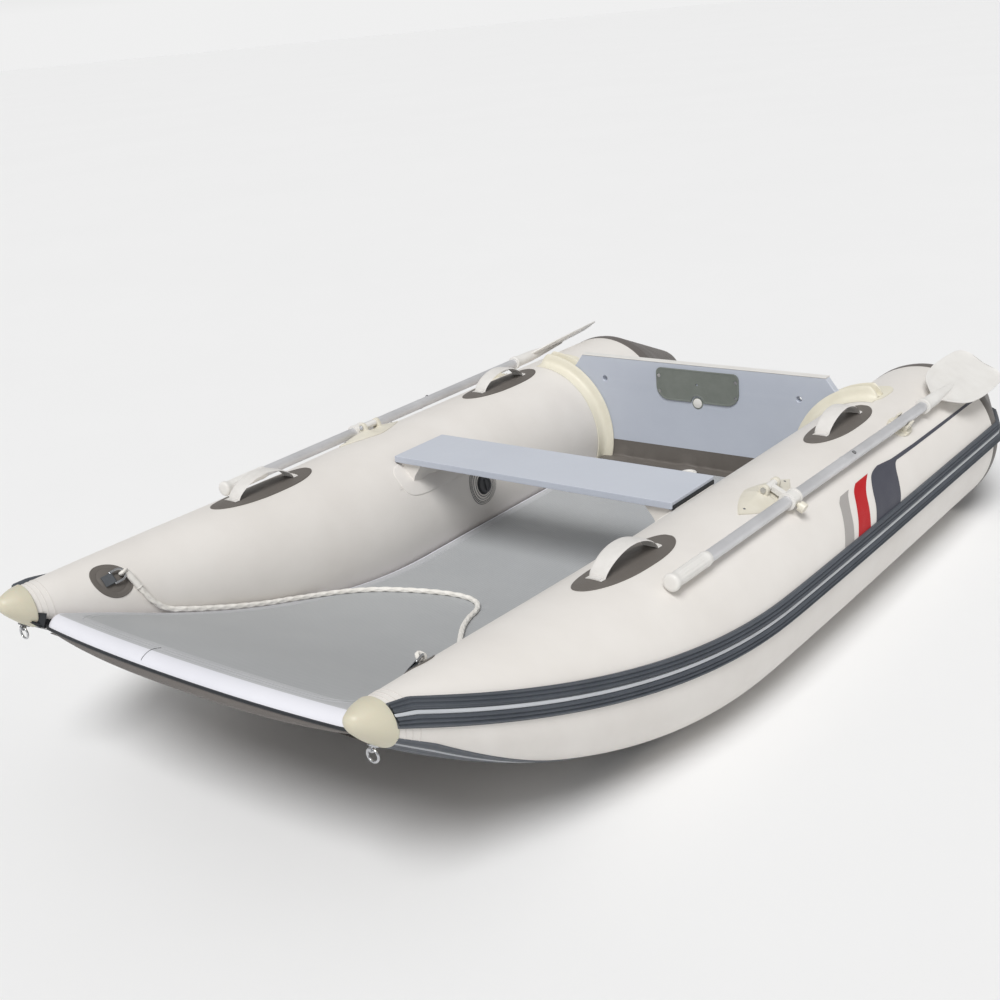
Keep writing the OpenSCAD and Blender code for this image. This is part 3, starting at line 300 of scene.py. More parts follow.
ALLOY = ALLOY.emboss(ALLOY.noise(0.001, 2, (30, 1, 30)), 0.00003, 0.5).material
RED = coated_fabric("stripe_red", "BC141B", "AD1017", 0.42).material
DARK_STRIPE = coated_fabric("stripe_dark", "4B4C56", "43444E", 0.42).material
GREY_STRIPE = coated_fabric("stripe_grey", "AAA6A3", "A09C99", 0.42).material


def board_finish():
    """Painted marine board: fine orange peel, faint long brush streaks, paler rubbed edges."""
    f = Finish("board_blue_grey", "BFC5D1", 0.36).mottle(0.25, "B5BBC8", 0.5).worn("DDE0E6", 0.6)
    f.emboss(f.noise(0.0035, 2), 0.00008, 0.6)
    f.emboss(f.noise(0.02, 3, (0.15, 2, 2)), 0.00006, 0.5)
    return f.set(Coat_Weight=0.15, Coat_Roughness=0.3).material


BOARD = board_finish()


def deck_finish():
    """Drop-stitch deck: fore-and-aft grooves moulded into grey coated fabric."""
    f = Finish("deck_grooved", "B3B5B6", 0.5)
    grooves = f.bands(0.0085, "X")
    cross = f.bands(0.0068, "Y")
    f.paint_with(f.noise(0.35, 4), "A7A9AB", 0.5)
    f.paint_with(grooves, "A2A4A6", 0.45, 0.55, 0.95)
    f.emboss(grooves, 0.0006, 0.6).emboss(cross, 0.0003, 0.4).emboss(f.noise(0.003, 2), 0.0002, 0.4)
    return f.material


DECK = deck_finish()
DECK_BORDER = coated_fabric("deck_border", "BEBFC1", "B4B5B8", 0.45).material
DECK_SIDE = coated_fabric("deck_side", "E4E4EA", "D9D9E0", 0.42).material


# ---------------------------------------------------------------- mesh tools
def piece(name, verts, faces, mats, body, replaced=(), face_mat=None, uv=None, crease=38):
    """A mesh piece that rides on a body. Edges sharper than crease degrees stay crisp."""
    mesh = bpy.data.meshes.new(name)
    mesh.from_pydata([tuple(map(float, v)) for v in verts], [], faces)
    for m in mats:
        mesh.materials.append(m)
    if face_mat is not None:
        mesh.polygons.foreach_set("material_index", np.asarray(face_mat, np.int32))
    if uv is not None:
        mesh.uv_layers.new(name="Metres").data.foreach_set("uv", np.asarray(uv, np.float32).ravel())
    bm = bmesh.new()
    bm.from_mesh(mesh)
    bmesh.ops.recalc_face_normals(bm, faces=bm.faces)
    for f in bm.faces:
        f.smooth = True
    for e in bm.edges:
        if len(e.link_faces) == 2 and e.calc_face_angle(0) > math.radians(crease):
            e.smooth = False
    bm.to_mesh(mesh)
    bm.free()
    obj = bpy.data.objects.new(name, mesh)
    bpy.context.scene.collection.objects.link(obj)
    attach(obj, body)
    if replaced:
        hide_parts(*replaced)
    return obj


def lofted(rings, around=True, caps=True):
    """Vertices, faces and UVs in metres of a skin through rings of points."""
    p = np.asarray(rings, float)
    k, n = p.shape[:2]
    wide = n if around else n - 1
    steps = np.linalg.norm(np.roll(p, -1, 1) - p, axis=2)
    u = np.concatenate([np.zeros((k, 1)), np.cumsum(steps, 1)], 1)
    v = np.concatenate([[0], np.cumsum(np.linalg.norm(np.diff(p, axis=0), axis=2).mean(1))])
    faces, uv = [], []
    for i in range(k - 1):
        for j in range(wide):
            j2 = (j + 1) % n
            faces.append((i * n + j, i * n + j2, (i + 1) * n + j2, (i + 1) * n + j))
            uv += [(u[i, j], v[i]), (u[i, j + 1], v[i]), (u[i + 1, j + 1], v[i + 1]), (u[i + 1, j], v[i + 1])]
    verts = p.reshape(-1, 3).tolist()
    if caps and around:
        for row, at in ((0, 0), (k - 1, (k - 1) * n)):
            verts.append(p[row].mean(0).tolist())
            c = len(verts) - 1
            for j in range(n):
                faces.append((at + j, at + (j + 1) % n, c))
                uv += [tuple(p[row, j, :2]), tuple(p[row, (j + 1) % n, :2]), tuple(p[row].mean(0)[:2])]
    return verts, faces, uv


def loft(name, rings, mats, body, replaced=(), around=True, caps=True, mat_of=None, crease=38):
    """A piece from rings of points. mat_of(i, j) picks the material of the face after ring i, point j."""
    verts, faces, uv = lofted(rings, around, caps)
    k, n = np.asarray(rings).shape[:2]
    wide = n if around else n - 1
    face_mat = None
    if mat_of:
        face_mat = [mat_of(q // wide, q % wide) if q < (k - 1) * wide else 0 for q in range(len(faces))]
    return piece(name, verts, faces, mats, body, replaced, face_mat, uv, crease)


def joined(name, parts, mats, body, replaced=(), crease=38):
    """One piece from several (verts, faces, uv, material index) parts."""
    verts, faces, uv, which = [], [], [], []
    for pv, pf, pu, m in parts:
        base = len(verts)
        verts += list(pv)
        faces += [tuple(base + i for i in f) for f in pf]
        uv += list(pu) if pu is not None else [(0, 0)] * sum(len(f) for f in pf)
        which += [m] * len(pf)
    return piece(name, verts, faces, mats, body, replaced, which, uv, crease)


def swept_rings(path, profile, up=(0, 0, 1)):
    """Rings of a profile, a list of (sideways, upward) offsets, carried along a path."""
    path = np.asarray(path, float)
    d = np.gradient(path, axis=0)
    d /= np.linalg.norm(d, axis=1)[:, None]
    up = np.broadcast_to(np.asarray(up, float), path.shape)
    side = np.cross(d, up)
    side /= np.linalg.norm(side, axis=1)[:, None]
    high = np.cross(side, d)
    profile = np.asarray(profile, float)
    if profile.ndim == 2:
        profile = np.broadcast_to(profile, (len(path),) + profile.shape)
    return path[:, None] + profile[..., :1] * side[:, None] + profile[..., 1:] * high[:, None]


def circle(r, n=16):
    t = np.linspace(0, 2 * math.pi, n, endpoint=False)
    return np.stack([r * np.cos(t), r * np.sin(t)], 1)


def turned(profile, n=64, lobes=None):
    """Rings of a profile of (radius, height) turned about Z. lobes(t) scales the radius."""
    t = np.linspace(0, 2 * math.pi, n, endpoint=False)
    rings = []
    for r, h in profile:
        k = lobes(t, h) if lobes else 1.0
        rings.append(np.stack([r * k * np.cos(t), r * k * np.sin(t), np.full(n, h)], 1))
    return np.array(rings)


def moved(rings, matrix):
    m = np.array(matrix, float)
    return np.asarray(rings) @ m[:3, :3].T + m[:3, 3]


def rounded_edge(e, width):
    """0 at an edge and 1 from width inside it, as a quarter circle."""
    x = np.clip(e / width, 0, 1)
    return np.sqrt(1 - (1 - x) ** 2)


def patch_part(side, y0, a0, length, width, t, roundness=2.4, rows=44, cols=20, edge=0.002, base=0.0002,
               dome=0.0):
    """A rounded patch on the tube, as a part: its rim is rolled over and it can be domed."""
    rings = []
    for y in ease(y0 - length / 2, y0 + length / 2, rows):
        u = abs(y - y0) / (length / 2)
        half = max(0.0006, width / 2 * max(0.0, 1 - u ** roundness) ** (1 / roundness))
        v = np.sin(np.linspace(-math.pi / 2, math.pi / 2, cols + 1))
        inside = np.minimum((1 - np.abs(v)) * half, (1 - u) * length / 2)
        top = t * rounded_edge(inside + 0.0001, edge) + dome * (1 - v ** 2) * (1 - u ** 2)
        turn = np.degrees(half / hull_r(y))
        over = on_tube(side, y, a0 + turn * v, base + top)
        under = on_tube(side, y, a0 + turn * v[::-1], base)
        rings.append(np.concatenate([over, under]))
    return lofted(rings)


def polar_part(matrix_of, profile, n=72):
    """A turned part laid on the tube: profile gives (radius, height), matrix_of(x, y) a surface point."""
    t = np.linspace(0, 2 * math.pi, n, endpoint=False)
    rings = [[matrix_of(r * math.cos(q), r * math.sin(q), h) for q in t] for r, h in profile]
    return lofted(rings, caps=False)


def round_on_tube(side, y0, a0):
    """Returns a function that wraps a flat (aft, up, height) point onto the tube about (y0, a0)."""
    def wrap(x, z, h):
        y = y0 + x
        return on_tube(side, y, a0 + math.degrees(z / float(hull_r(y))), h)
    return wrap


def stitched(paths, length=0.0032, pitch=0.0048, radius=0.0005):
    """Short threads along paths, as a part for joined()."""
    verts, faces = [], []
    for path in paths:
        path = np.asarray(path, float)
        steps = np.linalg.norm(np.diff(path, axis=0), axis=1)
        s = np.concatenate([[0], np.cumsum(steps)])
        for at in np.arange(pitch / 2, s[-1] - length / 2, pitch):
            ends = [np.array([np.interp(at + q, s, path[:, c]) for c in range(3)])
                    for q in (-length / 2, 0, length / 2)]
            d = ends[2] - ends[0]
            d /= np.linalg.norm(d)
            across = np.cross(d, (0.3, 0.5, 0.81))
            across /= np.linalg.norm(across)
            high = np.cross(d, across)
            base = len(verts)
            for point, r in zip(ends, (0.35, 1.0, 0.35)):
                for q in range(6):
                    c, w = math.cos(q * math.pi / 3), math.sin(q * math.pi / 3)
                    verts.append(point + radius * r * (c * across + w * high))
            for k in range(2):
                for q in range(6):
                    faces.append((base + 6 * k + q, base + 6 * k + (q + 1) % 6,
                                  base + 6 * (k + 1) + (q + 1) % 6, base + 6 * (k + 1) + q))
            faces += [tuple(base + q for q in range(5, -1, -1)), tuple(base + 12 + q for q in range(6))]
    return verts, faces, None


# ---------------------------------------------------------------- camera, light and floor
def make_camera():
    azimuth, elevation, roll = (math.radians(v) for v in (39.289, 20.291, -5.416))
    back = Vector((math.sin(azimuth) * math.cos(elevation), -math.cos(azimuth) * math.cos(elevation),
                   math.sin(elevation)))
    right = Vector((math.cos(azimuth), math.sin(azimuth), 0))
    up = back.cross(right)
    right, up = right * math.cos(roll) + up * math.sin(roll), up * math.cos(roll) - right * math.sin(roll)
    data = bpy.data.cameras.new("camera")
    data.lens, data.sensor_width = 48.32, 36
    data.clip_start, data.clip_end = 0.05, 100
    camera = bpy.data.objects.new("camera", data)
    bpy.context.scene.collection.objects.link(camera)
    matrix = Matrix((right, up, back)).transposed().to_4x4()
    matrix.translation = Vector((2.0116, -2.7789, 1.5714))
    camera.matrix_world = matrix
    bpy.context.scene.camera = camera


def make_stage():
    mesh = bpy.data.meshes.new("floor")
    far = 300
    mesh.from_pydata([(-far, -far, 0), (far, -far, 0), (far, far, 0), (-far, far, 0)], [], [(0, 1, 2, 3)])
    floor = bpy.data.objects.new("floor", mesh)
    bpy.context.scene.collection.objects.link(floor)
    mesh.materials.append(Finish("floor_pale", "F2F2F2", 0.9).mottle(2.0, "F0F0F0", 0.5).material)
    world = bpy.data.worlds.new("studio")
    bpy.context.scene.world = world
    world.use_nodes = True
    tree = world.node_tree
    # white at the horizon, softer overhead
    coord = tree.nodes.new("ShaderNodeTexCoord")
    split = tree.nodes.new("ShaderNodeSeparateXYZ")
    grade = tree.nodes.new("ShaderNodeMapRange")
    for socket, value in (("From Min", 0.02), ("From Max", 0.16), ("To Min", 0.868), ("To Max", 0.36)):
        grade.inputs[socket].default_value = value
    tree.links.new(coord.outputs["Generated"], split.inputs[0])
    tree.links.new(split.outputs["Z"], grade.inputs["Value"])
    tree.links.new(grade.outputs["Result"], tree.nodes["Background"].inputs["Strength"])
    tree.nodes["Background"].inputs["Color"].default_value = (1, 1, 1, 1)
    data = bpy.data.lights.new("sun", "SUN")
    data.energy, data.angle = 2.38, math.radians(26)
    sun = bpy.data.objects.new("sun", data)
    bpy.context.scene.collection.objects.link(sun)
    sun.rotation_euler = Vector((-0.30, 0.62, -1.0)).to_track_quat("-Z", "Y").to_euler()
    bpy.context.scene.view_settings.view_transform = "Standard"


make_camera()
make_stage()


# ---------------------------------------------------------------- bow rope
ROPE_D = 0.0136
ROPE_ROUTE = [(-0.445, -1.135, 0.440), (-0.431, -1.124, 0.4105), (-0.414, -1.108, 0.369),
              (-0.404, -1.084, 0.338), (-0.399, -1.062, 0.324), (-0.393, -1.038, 0.315),
              (-0.384, -0.985, 0.296), (-0.372, -0.910, 0.2715), (-0.362, -0.830, 0.2475),
              (-0.354, -0.745, 0.2255), (-0.338, -0.660, 0.206), (-0.308, -0.585, 0.1915),
              (-0.262, -0.530, 0.1825), (-0.205, -0.492, 0.177), (-0.140, -0.462, 0.1732),
              (-0.080, -0.446, 0.1714), (-0.028, -0.446, 0.1714), (0.014, -0.466, 0.1737),
              (0.044, -0.505, 0.179), (0.066, -0.560, 0.1873), (0.098, -0.620, 0.198),
              (0.140, -0.680, 0.2103), (0.190, -0.745, 0.2255), (0.246, -0.815, 0.2436),
              (0.302, -0.890, 0.2652), (0.352, -0.965, 0.2892), (0.384, -1.038, 0.315),
              (0.396, -1.062, 0.324), (0.404, -1.084, 0.338), (0.414, -1.108, 0.369),
              (0.431, -1.124, 0.4105), (0.445, -1.135, 0.440)]


def smooth_route(points, steps):
    """Catmull-Rom curve through the points."""
    p = np.array([points[0], *points, points[-1]], float)
    t = (np.arange(steps) / steps)[:, None]
    runs = [0.5 * (2 * p[i] + (p[i + 1] - p[i - 1]) * t
                   + (2 * p[i - 1] - 5 * p[i] + 4 * p[i + 1] - p[i + 2]) * t ** 2
                   + (3 * p[i] - p[i - 1] - 3 * p[i + 1] + p[i + 2]) * t ** 3)
            for i in range(1, len(p) - 2)]
    return np.concatenate([*runs, p[-1:]])


def even(path, step):
    """The same path with points that far apart."""
    s = np.concatenate([[0], np.cumsum(np.linalg.norm(np.diff(path, axis=0), axis=1))])
    at = np.linspace(0, s[-1], max(2, int(round(s[-1] / step)) + 1))
    return np.stack([np.interp(at, s, path[:, c]) for c in range(3)], 1), s[-1]


def braid(s, radius, strands=3, pitch=0.034, relief=0.15, n=24):
    """Profile of a braided rope at each distance s: two families of strands that cross."""
    t = np.linspace(0, 2 * math.pi, n, endpoint=False)[None]
    turn = (2 * math.pi * s / pitch)[:, None]
    right, left = np.cos(strands * t + turn), np.cos(strands * t - turn)
    r = radius * (1 - relief + relief * np.maximum(right, left))
    return np.stack([r * np.cos(t), r * np.sin(t)], 2)


def make_rope():
    line, length = even(smooth_route(ROPE_ROUTE, 12), 0.0022)
    s = np.linspace(0, length, len(line))
    rope = loft("bow_line", swept_rings(line, braid(s, ROPE_D / 2)), [ROPE], "hull",
                ["bow_rope"], crease=80)
    for name, side in SIDES.items():
        run = line if side < 0 else line[::-1]
        reach = np.linspace(0, 0.044, 24)
        seg = run[:len(reach)]
        bulge = 1 + 0.10 * np.cos(2 * math.pi * reach / 0.0042)
        r = 0.0079 * bulge * np.clip(np.minimum(reach, reach[-1] - reach) / 0.004 + 0.72, 0, 1)
        rings = swept_rings(seg, circle(1, 24)[None] * r[:, None, None])
        parts = [(*lofted(rings), 0)]
        m = tube_frame(side, RING_Y, RING_A, 0.0003)
        t = np.linspace(0, 2 * math.pi, 40)
        eye = np.stack([0.027 + 0.0075 * np.cos(t), 0.001 * np.sin(2 * t), 0.0145 + 0.0085 * np.sin(t)], 1)
        eye_rings = swept_rings(moved(eye, m), braid(t * 0.008, 0.0046), up=(0.2, 0.9, 0.3))
        parts.append((*lofted(eye_rings, caps=False), 0))
        knot = joined(name + "_rope_eye", parts, [ROPE], "hull", ["rope_knots"], crease=80)


RING_Y, RING_A = TIP_Y + 0.226, 139.0


# ---------------------------------------------------------------- air tubes, caps and cones
def make_tube(name, side):
    ys = np.concatenate([np.linspace(RIM_Y - 0.008, CAP_Y + 0.45, 44), np.linspace(CAP_Y + 0.47, 0.0, 30),
                         np.linspace(0.05, TUBE_END_Y, 24)])
    a = np.linspace(0, 360, 128, endpoint=False)
    rings = [on_tube(side, y, a) for y in ys]
    loft(name + "_air_tube", rings, [PVC], "hull", [name + "_tube"])


def tape_ring(side, y, width, t, a0=0.0, a1=360.0, n=128, lean=0.0):
    """A tape round the tube, as a part. lean moves it aft towards the outboard side."""
    edge = np.array([0, 0.12, 0.5, 0.88, 1.0])
    rise = np.array([0.1, 1, 1, 1, 0.1])
    rings = []
    for a in np.linspace(a0, a1, n):
        yy = y + lean * math.cos(math.radians(a)) + width * (edge - 0.5)
        top = on_tube(side, yy, a, 0.0001 + t * rise)
        low = on_tube(side, yy[::-1], a, 0.00005)
        rings.append(np.concatenate([top, low]))
    return lofted(rings, caps=a1 - a0 < 359)


def make_seams(name, side):
    parts = [(*tape_ring(side, RIM_Y + d, 0.0020, 0.0008, lean=0.004), 0) for d in (0.014, 0.026, 0.040)]
    for a in (236.0,):
        ys = np.linspace(CAP_Y + 0.06, TUBE_END_Y - 0.01, 70)
        turn = np.degrees(0.015 / tube_r(ys))
        v = np.array([-1, -0.86, 0, 0.86, 1])
        rise = np.array([0.1, 1, 1, 1, 0.1]) * 0.0005
        rings = [np.concatenate([on_tube(side, y, a + w * v, 0.00012 + rise),
                                 on_tube(side, y, a + w * v[::-1], 0.00006)]) for y, w in zip(ys, turn)]
        parts.append((*lofted(rings), 0))
    joined(name + "_seam_tapes", parts, [PVC_SEAM], "hull")


NOSE_Y, RIM_Y = BOW_Y + 0.010, CAP_Y - 0.012
NOSE_SHAPE = ((0.0, 0.0004), (0.03, 0.0095), (0.08, 0.0152), (0.16, 0.0203), (0.28, 0.0256), (0.45, 0.0327),
              (0.70, 0.0417), (1.0, 0.0494))


def make_cap(name, side):
    """Moulded nose: a round tip on a flaring cone with a rolled rear lip."""
    a = np.linspace(0, 2 * math.pi, 72, endpoint=False)
    share, radius = np.array(NOSE_SHAPE).T
    rings = []
    for s in np.sin(np.linspace(0, math.pi / 2, 30)) ** 2:
        y = NOSE_Y + (RIM_Y - NOSE_Y) * s
        r = float(np.interp(math.sqrt(s), np.sqrt(share), radius))
        lean = 0.004 * s * np.cos(a)
        rings.append(np.stack([side * (tube_x(y) + r * np.cos(a)), y + lean, tube_z(y) + r * np.sin(a)], 1))
    for grow, back in ((0.0006, 0.0012), (0.0, 0.0026), (-0.0022, 0.0030)):
        y, r = RIM_Y + back, 0.0494 + grow
        rings.append(np.stack([side * (tube_x(y) + r * np.cos(a)), y + 0.004 * np.cos(a),
                               tube_z(y) + r * np.sin(a)], 1))
    loft(name + "_cap", rings, [IVORY], "hull", [name + "_nose_cap"], crease=60)


def make_cone(name, side):
    ys = np.concatenate([[TUBE_END_Y + 0.0003], TUBE_END_Y + CONE_ROUND * np.linspace(0.2, 1, 5),
                         np.linspace(TUBE_END_Y + 0.05, STERN_Y - 0.030, 16)])
    a = np.linspace(0, 360, 128, endpoint=False)
    rings = [on_tube(side, y, a, 0.0) for y in ys]
    last = float(hull_r(ys[-1]))
    for q in np.radians(np.linspace(8, 90, 8)):
        r = last - 0.024 * (1 - math.cos(q)) - 0.010 * math.sin(q)
        y = STERN_Y - 0.030 + 0.028 * math.sin(q)
        rings.append(on_tube(side, y, a, r - hull_r(y)))
    parts = [(*lofted(rings), 0)]
    # tape that laps the cone over the light fabric, and the disc that closes its end
    parts.append((*tape_ring(side, TUBE_END_Y - 0.004, 0.030, 0.0008), 0))
    axis = Matrix.Translation((side * TUBE_X, STERN_Y, TUBE_Z)) @ Matrix.Rotation(-math.pi / 2, 4, "X")
    disc = turned([(0.0001, -0.0009), (0.040, -0.0009), (0.044, -0.0003), (0.049, -0.0003), (0.052, -0.0012),
                   (0.0525, -0.006)], 72)
    parts.append((*lofted(moved(disc, axis), caps=False), 1))
    joined(name + "_cone", parts, [TAUPE, TAUPE_DARK], "hull", [name + "_stern_cone"])


# ---------------------------------------------------------------- strakes and keel strips
def ribbed_band(lo, hi, ribs, top, low=0.002):
    """Profile points (share of girth, height) of a band with rounded ribs."""
    pts = [(lo, low), (lo + 0.02, top * 0.55)]
    n = ribs * 8
    for i in range(n + 1):
        s = i / n
        crown = top * (0.80 + 0.20 * math.cos(2 * math.pi * s * ribs + math.pi) ** 1)
        pts.append((lo + 0.035 + (hi - lo - 0.07) * s, crown * (0.90 + 0.10 * math.sin(math.pi * s))))
    return pts + [(hi - 0.02, top * 0.55), (hi, low)]


def make_strake(name, side):
    band_a = ribbed_band(0.0, 0.41, 3, 0.0112)
    line = [(0.418, 0.0022), (0.430, 0.0050), (0.485, 0.0056), (0.540, 0.0050), (0.552, 0.0022)]
    band_b = ribbed_band(0.56, 1.0, 3, 0.0112)
    profile = band_a + line + band_b
    share = np.array([p[0] for p in profile])
    height = np.array([p[1] for p in profile])
    ys = np.concatenate([np.linspace(RIM_Y + 0.003, CAP_Y + 0.45, 60),
                         np.linspace(CAP_Y + 0.47, TUBE_END_Y, 50),
                         np.linspace(TUBE_END_Y + 0.01, TUBE_END_Y + 0.150, 16)])
    rings = []
    for y in ys:
        end = np.clip((ys[-1] - y) / 0.010 + 0.35, 0, 1)
        turn = np.degrees(0.061 / max(float(hull_r(y)), 0.060))
        top = on_tube(side, y, share * turn, 0.0002 + height * end)
        low = on_tube(side, y, share[::-6] * turn, 0.0001)
        rings.append(np.concatenate([top, low]))
    first, last = len(band_a), len(band_a) + len(line)
    loft(name + "_strake", rings, [SLATE, STRIPE_LIGHT], "hull", [name + "_rub_strake"],
         mat_of=lambda i, j: 1 if first - 1 <= j < last else 0, crease=50)


def make_keel():
    share = np.linspace(-1, 1, 33)
    height = 0.0022 + 0.0007 * np.cos(share * math.pi * 6)
    height[[0, -1]] = 0.0008
    parts = []
    for side in SIDES.values():
        ys = np.concatenate([np.linspace(RIM_Y + 0.004, CAP_Y + 0.5, 50),
                             np.linspace(CAP_Y + 0.53, TUBE_END_Y - 0.008, 40)])
        rings = []
        for y in ys:
            turn = np.degrees((0.032 + 0.010 * float(ramp(y, 0.6, 1))) / max(float(tube_r(y)), 0.070))
            middle = -90 + 34 * float(ramp(y, 0.60, 1))
            rings.append(np.concatenate([on_tube(side, y, middle + share * turn, height),
                                         on_tube(side, y, middle + share[::-4] * turn, 0.0002)]))
        verts, faces, uv = lofted(rings)
        wide = np.asarray(rings).shape[1]
        lines = {8, 9, 22, 23}
        which = [1 if (q % wide) in lines and q < (len(ys) - 1) * wide else 0 for q in range(len(faces))]
        parts.append((verts, faces, uv, which))
    verts, faces, uv, which = [], [], [], []
    for pv, pf, pu, pm in parts:
        base = len(verts)
        verts += pv
        faces += [tuple(base + i for i in f) for f in pf]
        uv += pu
        which += pm
    piece("keel_wear_strips", verts, faces, [SLATE, KEEL_LIGHT], "hull", ["keel_strips"],
          which, uv)


# ---------------------------------------------------------------- deck and bottom
DECK_FRONT_Y = CAP_Y - 0.022
DECK_TAIL_Y = TRANSOM_Y - 0.037
CORNER_R = 0.048


def front_shift(x, y):
    """How far the deck's ends stand back from its middle at the bow."""
    near = np.clip(1 - (np.asarray(y, float) - DECK_FRONT_Y) / 0.30, 0, 1)
    return (0.026 * np.abs(x / 0.465) ** 2.4 - 0.004) * near ** 2


def deck_point(x, y, depth):
    """A point of the deck, with the bow edge drawn to its curve in plan and its lower half to a crescent."""
    near = np.clip(1 - (np.asarray(y, float) - DECK_FRONT_Y) / 0.20, 0, 1)
    below = np.maximum(0, depth - DECK_T / 2)
    depth = depth - below * 0.75 * np.minimum(1, np.abs(x / 0.465) ** 3) * near
    droop = (0.022 - 0.008 * (x / 0.465) ** 2) * near ** 1.7
    return in_deck(x, y + front_shift(x, y), depth) - np.stack([0 * droop, 0 * droop, droop], -1)


def deck_section(y, half, cut=0.0, n_side=14, n_top=61):
    """A ring of the deck at y: flat top and bottom, full round sides. cut squeezes it for the bow edge."""
    r = (DECK_T / 2 - cut)
    mid = DECK_T / 2
    reach = half - r * 0.80
    x_top = np.linspace(-reach, reach, n_top)
    t = np.radians(np.linspace(90, -90, n_side + 2)[1:-1])
    right = np.stack([reach + 0.80 * r * np.cos(t), mid - r * np.sin(t)], 1)
    top = np.stack([x_top, np.full(n_top, mid - r)], 1)
    low = np.stack([x_top[::-1], np.full(n_top, mid + r)], 1)
    left = right[::-1] * (-1, 1)
    flat = np.concatenate([top, right, low, left])
    return deck_point(flat[:, 0], y, flat[:, 1])


def make_deck():
    roll = DECK_T / 2
    rings, kinds = [], []
    for q in np.radians(np.linspace(4, 90, 16)):
        s = roll * (1 - math.cos(q))
        cut = roll * (1 - math.sin(q))
        inset = CORNER_R - math.sqrt(max(0, CORNER_R ** 2 - (CORNER_R - min(s, CORNER_R)) ** 2))
        rings.append(deck_section(DECK_FRONT_Y + s, float(deck_half(DECK_FRONT_Y + s)) - inset, cut))
        kinds.append("roll" if q < math.radians(72) else "border")
    for s in (0.034, 0.039, 0.044, CORNER_R):
        inset = CORNER_R - math.sqrt(max(0, CORNER_R ** 2 - (CORNER_R - s) ** 2))
        rings.append(deck_section(DECK_FRONT_Y + s, float(deck_half(DECK_FRONT_Y + s)) - inset))
        kinds.append("border")
    for y in np.concatenate([np.linspace(DECK_FRONT_Y + 0.060, -0.20, 60),
                             np.linspace(-0.17, DECK_TAIL_Y - 0.02, 14)]):
        rings.append(deck_section(y, float(deck_half(y))))
        kinds.append("top")
    for q in np.radians(np.linspace(90, 8, 8)):
        y = DECK_TAIL_Y - 0.020 * (1 - math.cos(q))
        rings.append(deck_section(y + 0.0, float(deck_half(y)), 0.020 * (1 - math.sin(q))))
        kinds.append("roll")
    n_top, n_side = 61, 14

    def which(i, j):
        kind = kinds[i]
        if kind == "roll":
            return 2 if i > 20 or j < n_top + n_side // 2 or j >= 2 * n_top + 3 * n_side // 2 - 1 else 3
        if j < n_top - 1:
            edge = min(j, n_top - 2 - j)
            return 1 if kind == "border" or edge < 2 else 0
        return 2 if j < n_top + n_side or j >= 2 * n_top + n_side - 1 else 3

    loft("deck_body", rings, [DECK, DECK_BORDER, DECK_SIDE, TAUPE], "hull", ["air_deck", "deck_tail_panel"],
         mat_of=which, crease=60)


def deck_edge_path(gap, y_end=DECK_TAIL_Y - 0.03):
    """Points on the deck's top, gap in from its edge: up one side, round the bow and down the other."""
    corner = CORNER_R + 0.02
    ys = np.linspace(y_end, DECK_FRONT_Y + gap + corner, 70)
    up = [(float(deck_half(y)) - 0.022 - gap * 0.6, y) for y in ys]
    x0, y0 = up[-1]
    bend = [(x0 - corner * (1 - math.cos(q)), y0 - corner * math.sin(q))
            for q in np.radians(np.linspace(8, 90, 10))]
    half = up + bend
    across = [(x, half[-1][1]) for x in np.linspace(half[-1][0], -half[-1][0], 60)[1:-1]]
    return half + across + [(-x, y) for x, y in half[::-1]]


def make_deck_seams():
    """Seam lines along the deck's border, the lap in its bow tape, and the welt at mid height of its edge."""
    parts = []
    for gap, t in ((0.034, 0.0006), (0.046, 0.0005)):
        path = np.array([deck_point(x, y, -0.0001) for x, y in deck_edge_path(gap)])
        parts.append((*lofted(swept_rings(even(path, 0.008)[0], circle(t, 8))), 0))
    x = -0.10
    lap = [deck_point(x, DECK_FRONT_Y + 0.030 * (1 - math.cos(q)) - 0.0003,
                      0.030 * (1 - math.sin(q)) - 0.0003)
           for q in np.radians(np.linspace(20, 90, 12))]
    lap += [deck_point(x, DECK_FRONT_Y + s, -0.0002) for s in (0.036, 0.044)]
    parts.append((*lofted(swept_rings(np.array(lap), circle(0.0006, 6), up=(1, 0, 0))), 1))
    joined("deck_seam_lines", parts, [DECK_BORDER, THREAD_DARK], "hull")
    reach = float(deck_half(DECK_FRONT_Y)) - 0.012
    path = []
    for v in np.linspace(-reach, reach, 90):
        corner = max(0.0, (abs(v) - reach + 0.030) / 0.030)
        round_y = DECK_FRONT_Y - 0.0006 + 0.030 * (1 - math.sqrt(1 - corner ** 2 * 0.96))
        path.append(deck_point(v, round_y, DECK_T / 2 + 0.001))
    path = np.array(path)
    y = RIM_Y - 0.014
    tie = np.array([float(tube_x(y)) - 0.036, y, float(tube_z(y)) - 0.030])
    blend = [path[-1] + (tie - path[-1]) * q - np.array([0, 0, 0.004 * math.sin(math.pi * q)])
             for q in np.linspace(0.1, 1, 8)]
    path = np.concatenate([np.array(blend)[::-1] * (-1, 1, 1), path, blend])
    flat = np.array([(-0.0022, -0.0026), (0.0022, -0.0026), (0.0034, 0.0),
                     (0.0022, 0.0026), (-0.0022, 0.0026), (-0.0034, 0)])
    loft("bow_welt", swept_rings(even(path, 0.006)[0], flat), [BLACK], "hull")


def skin_half(y, z):
    drop = np.minimum(np.maximum(0, tube_z(y) - z), 0.75 * tube_r(y))
    return tube_x(y) - np.sqrt(tube_r(y) ** 2 - drop ** 2) - 0.0006 - 0.003 * ramp(y, DECK_RAMP_L, 1)


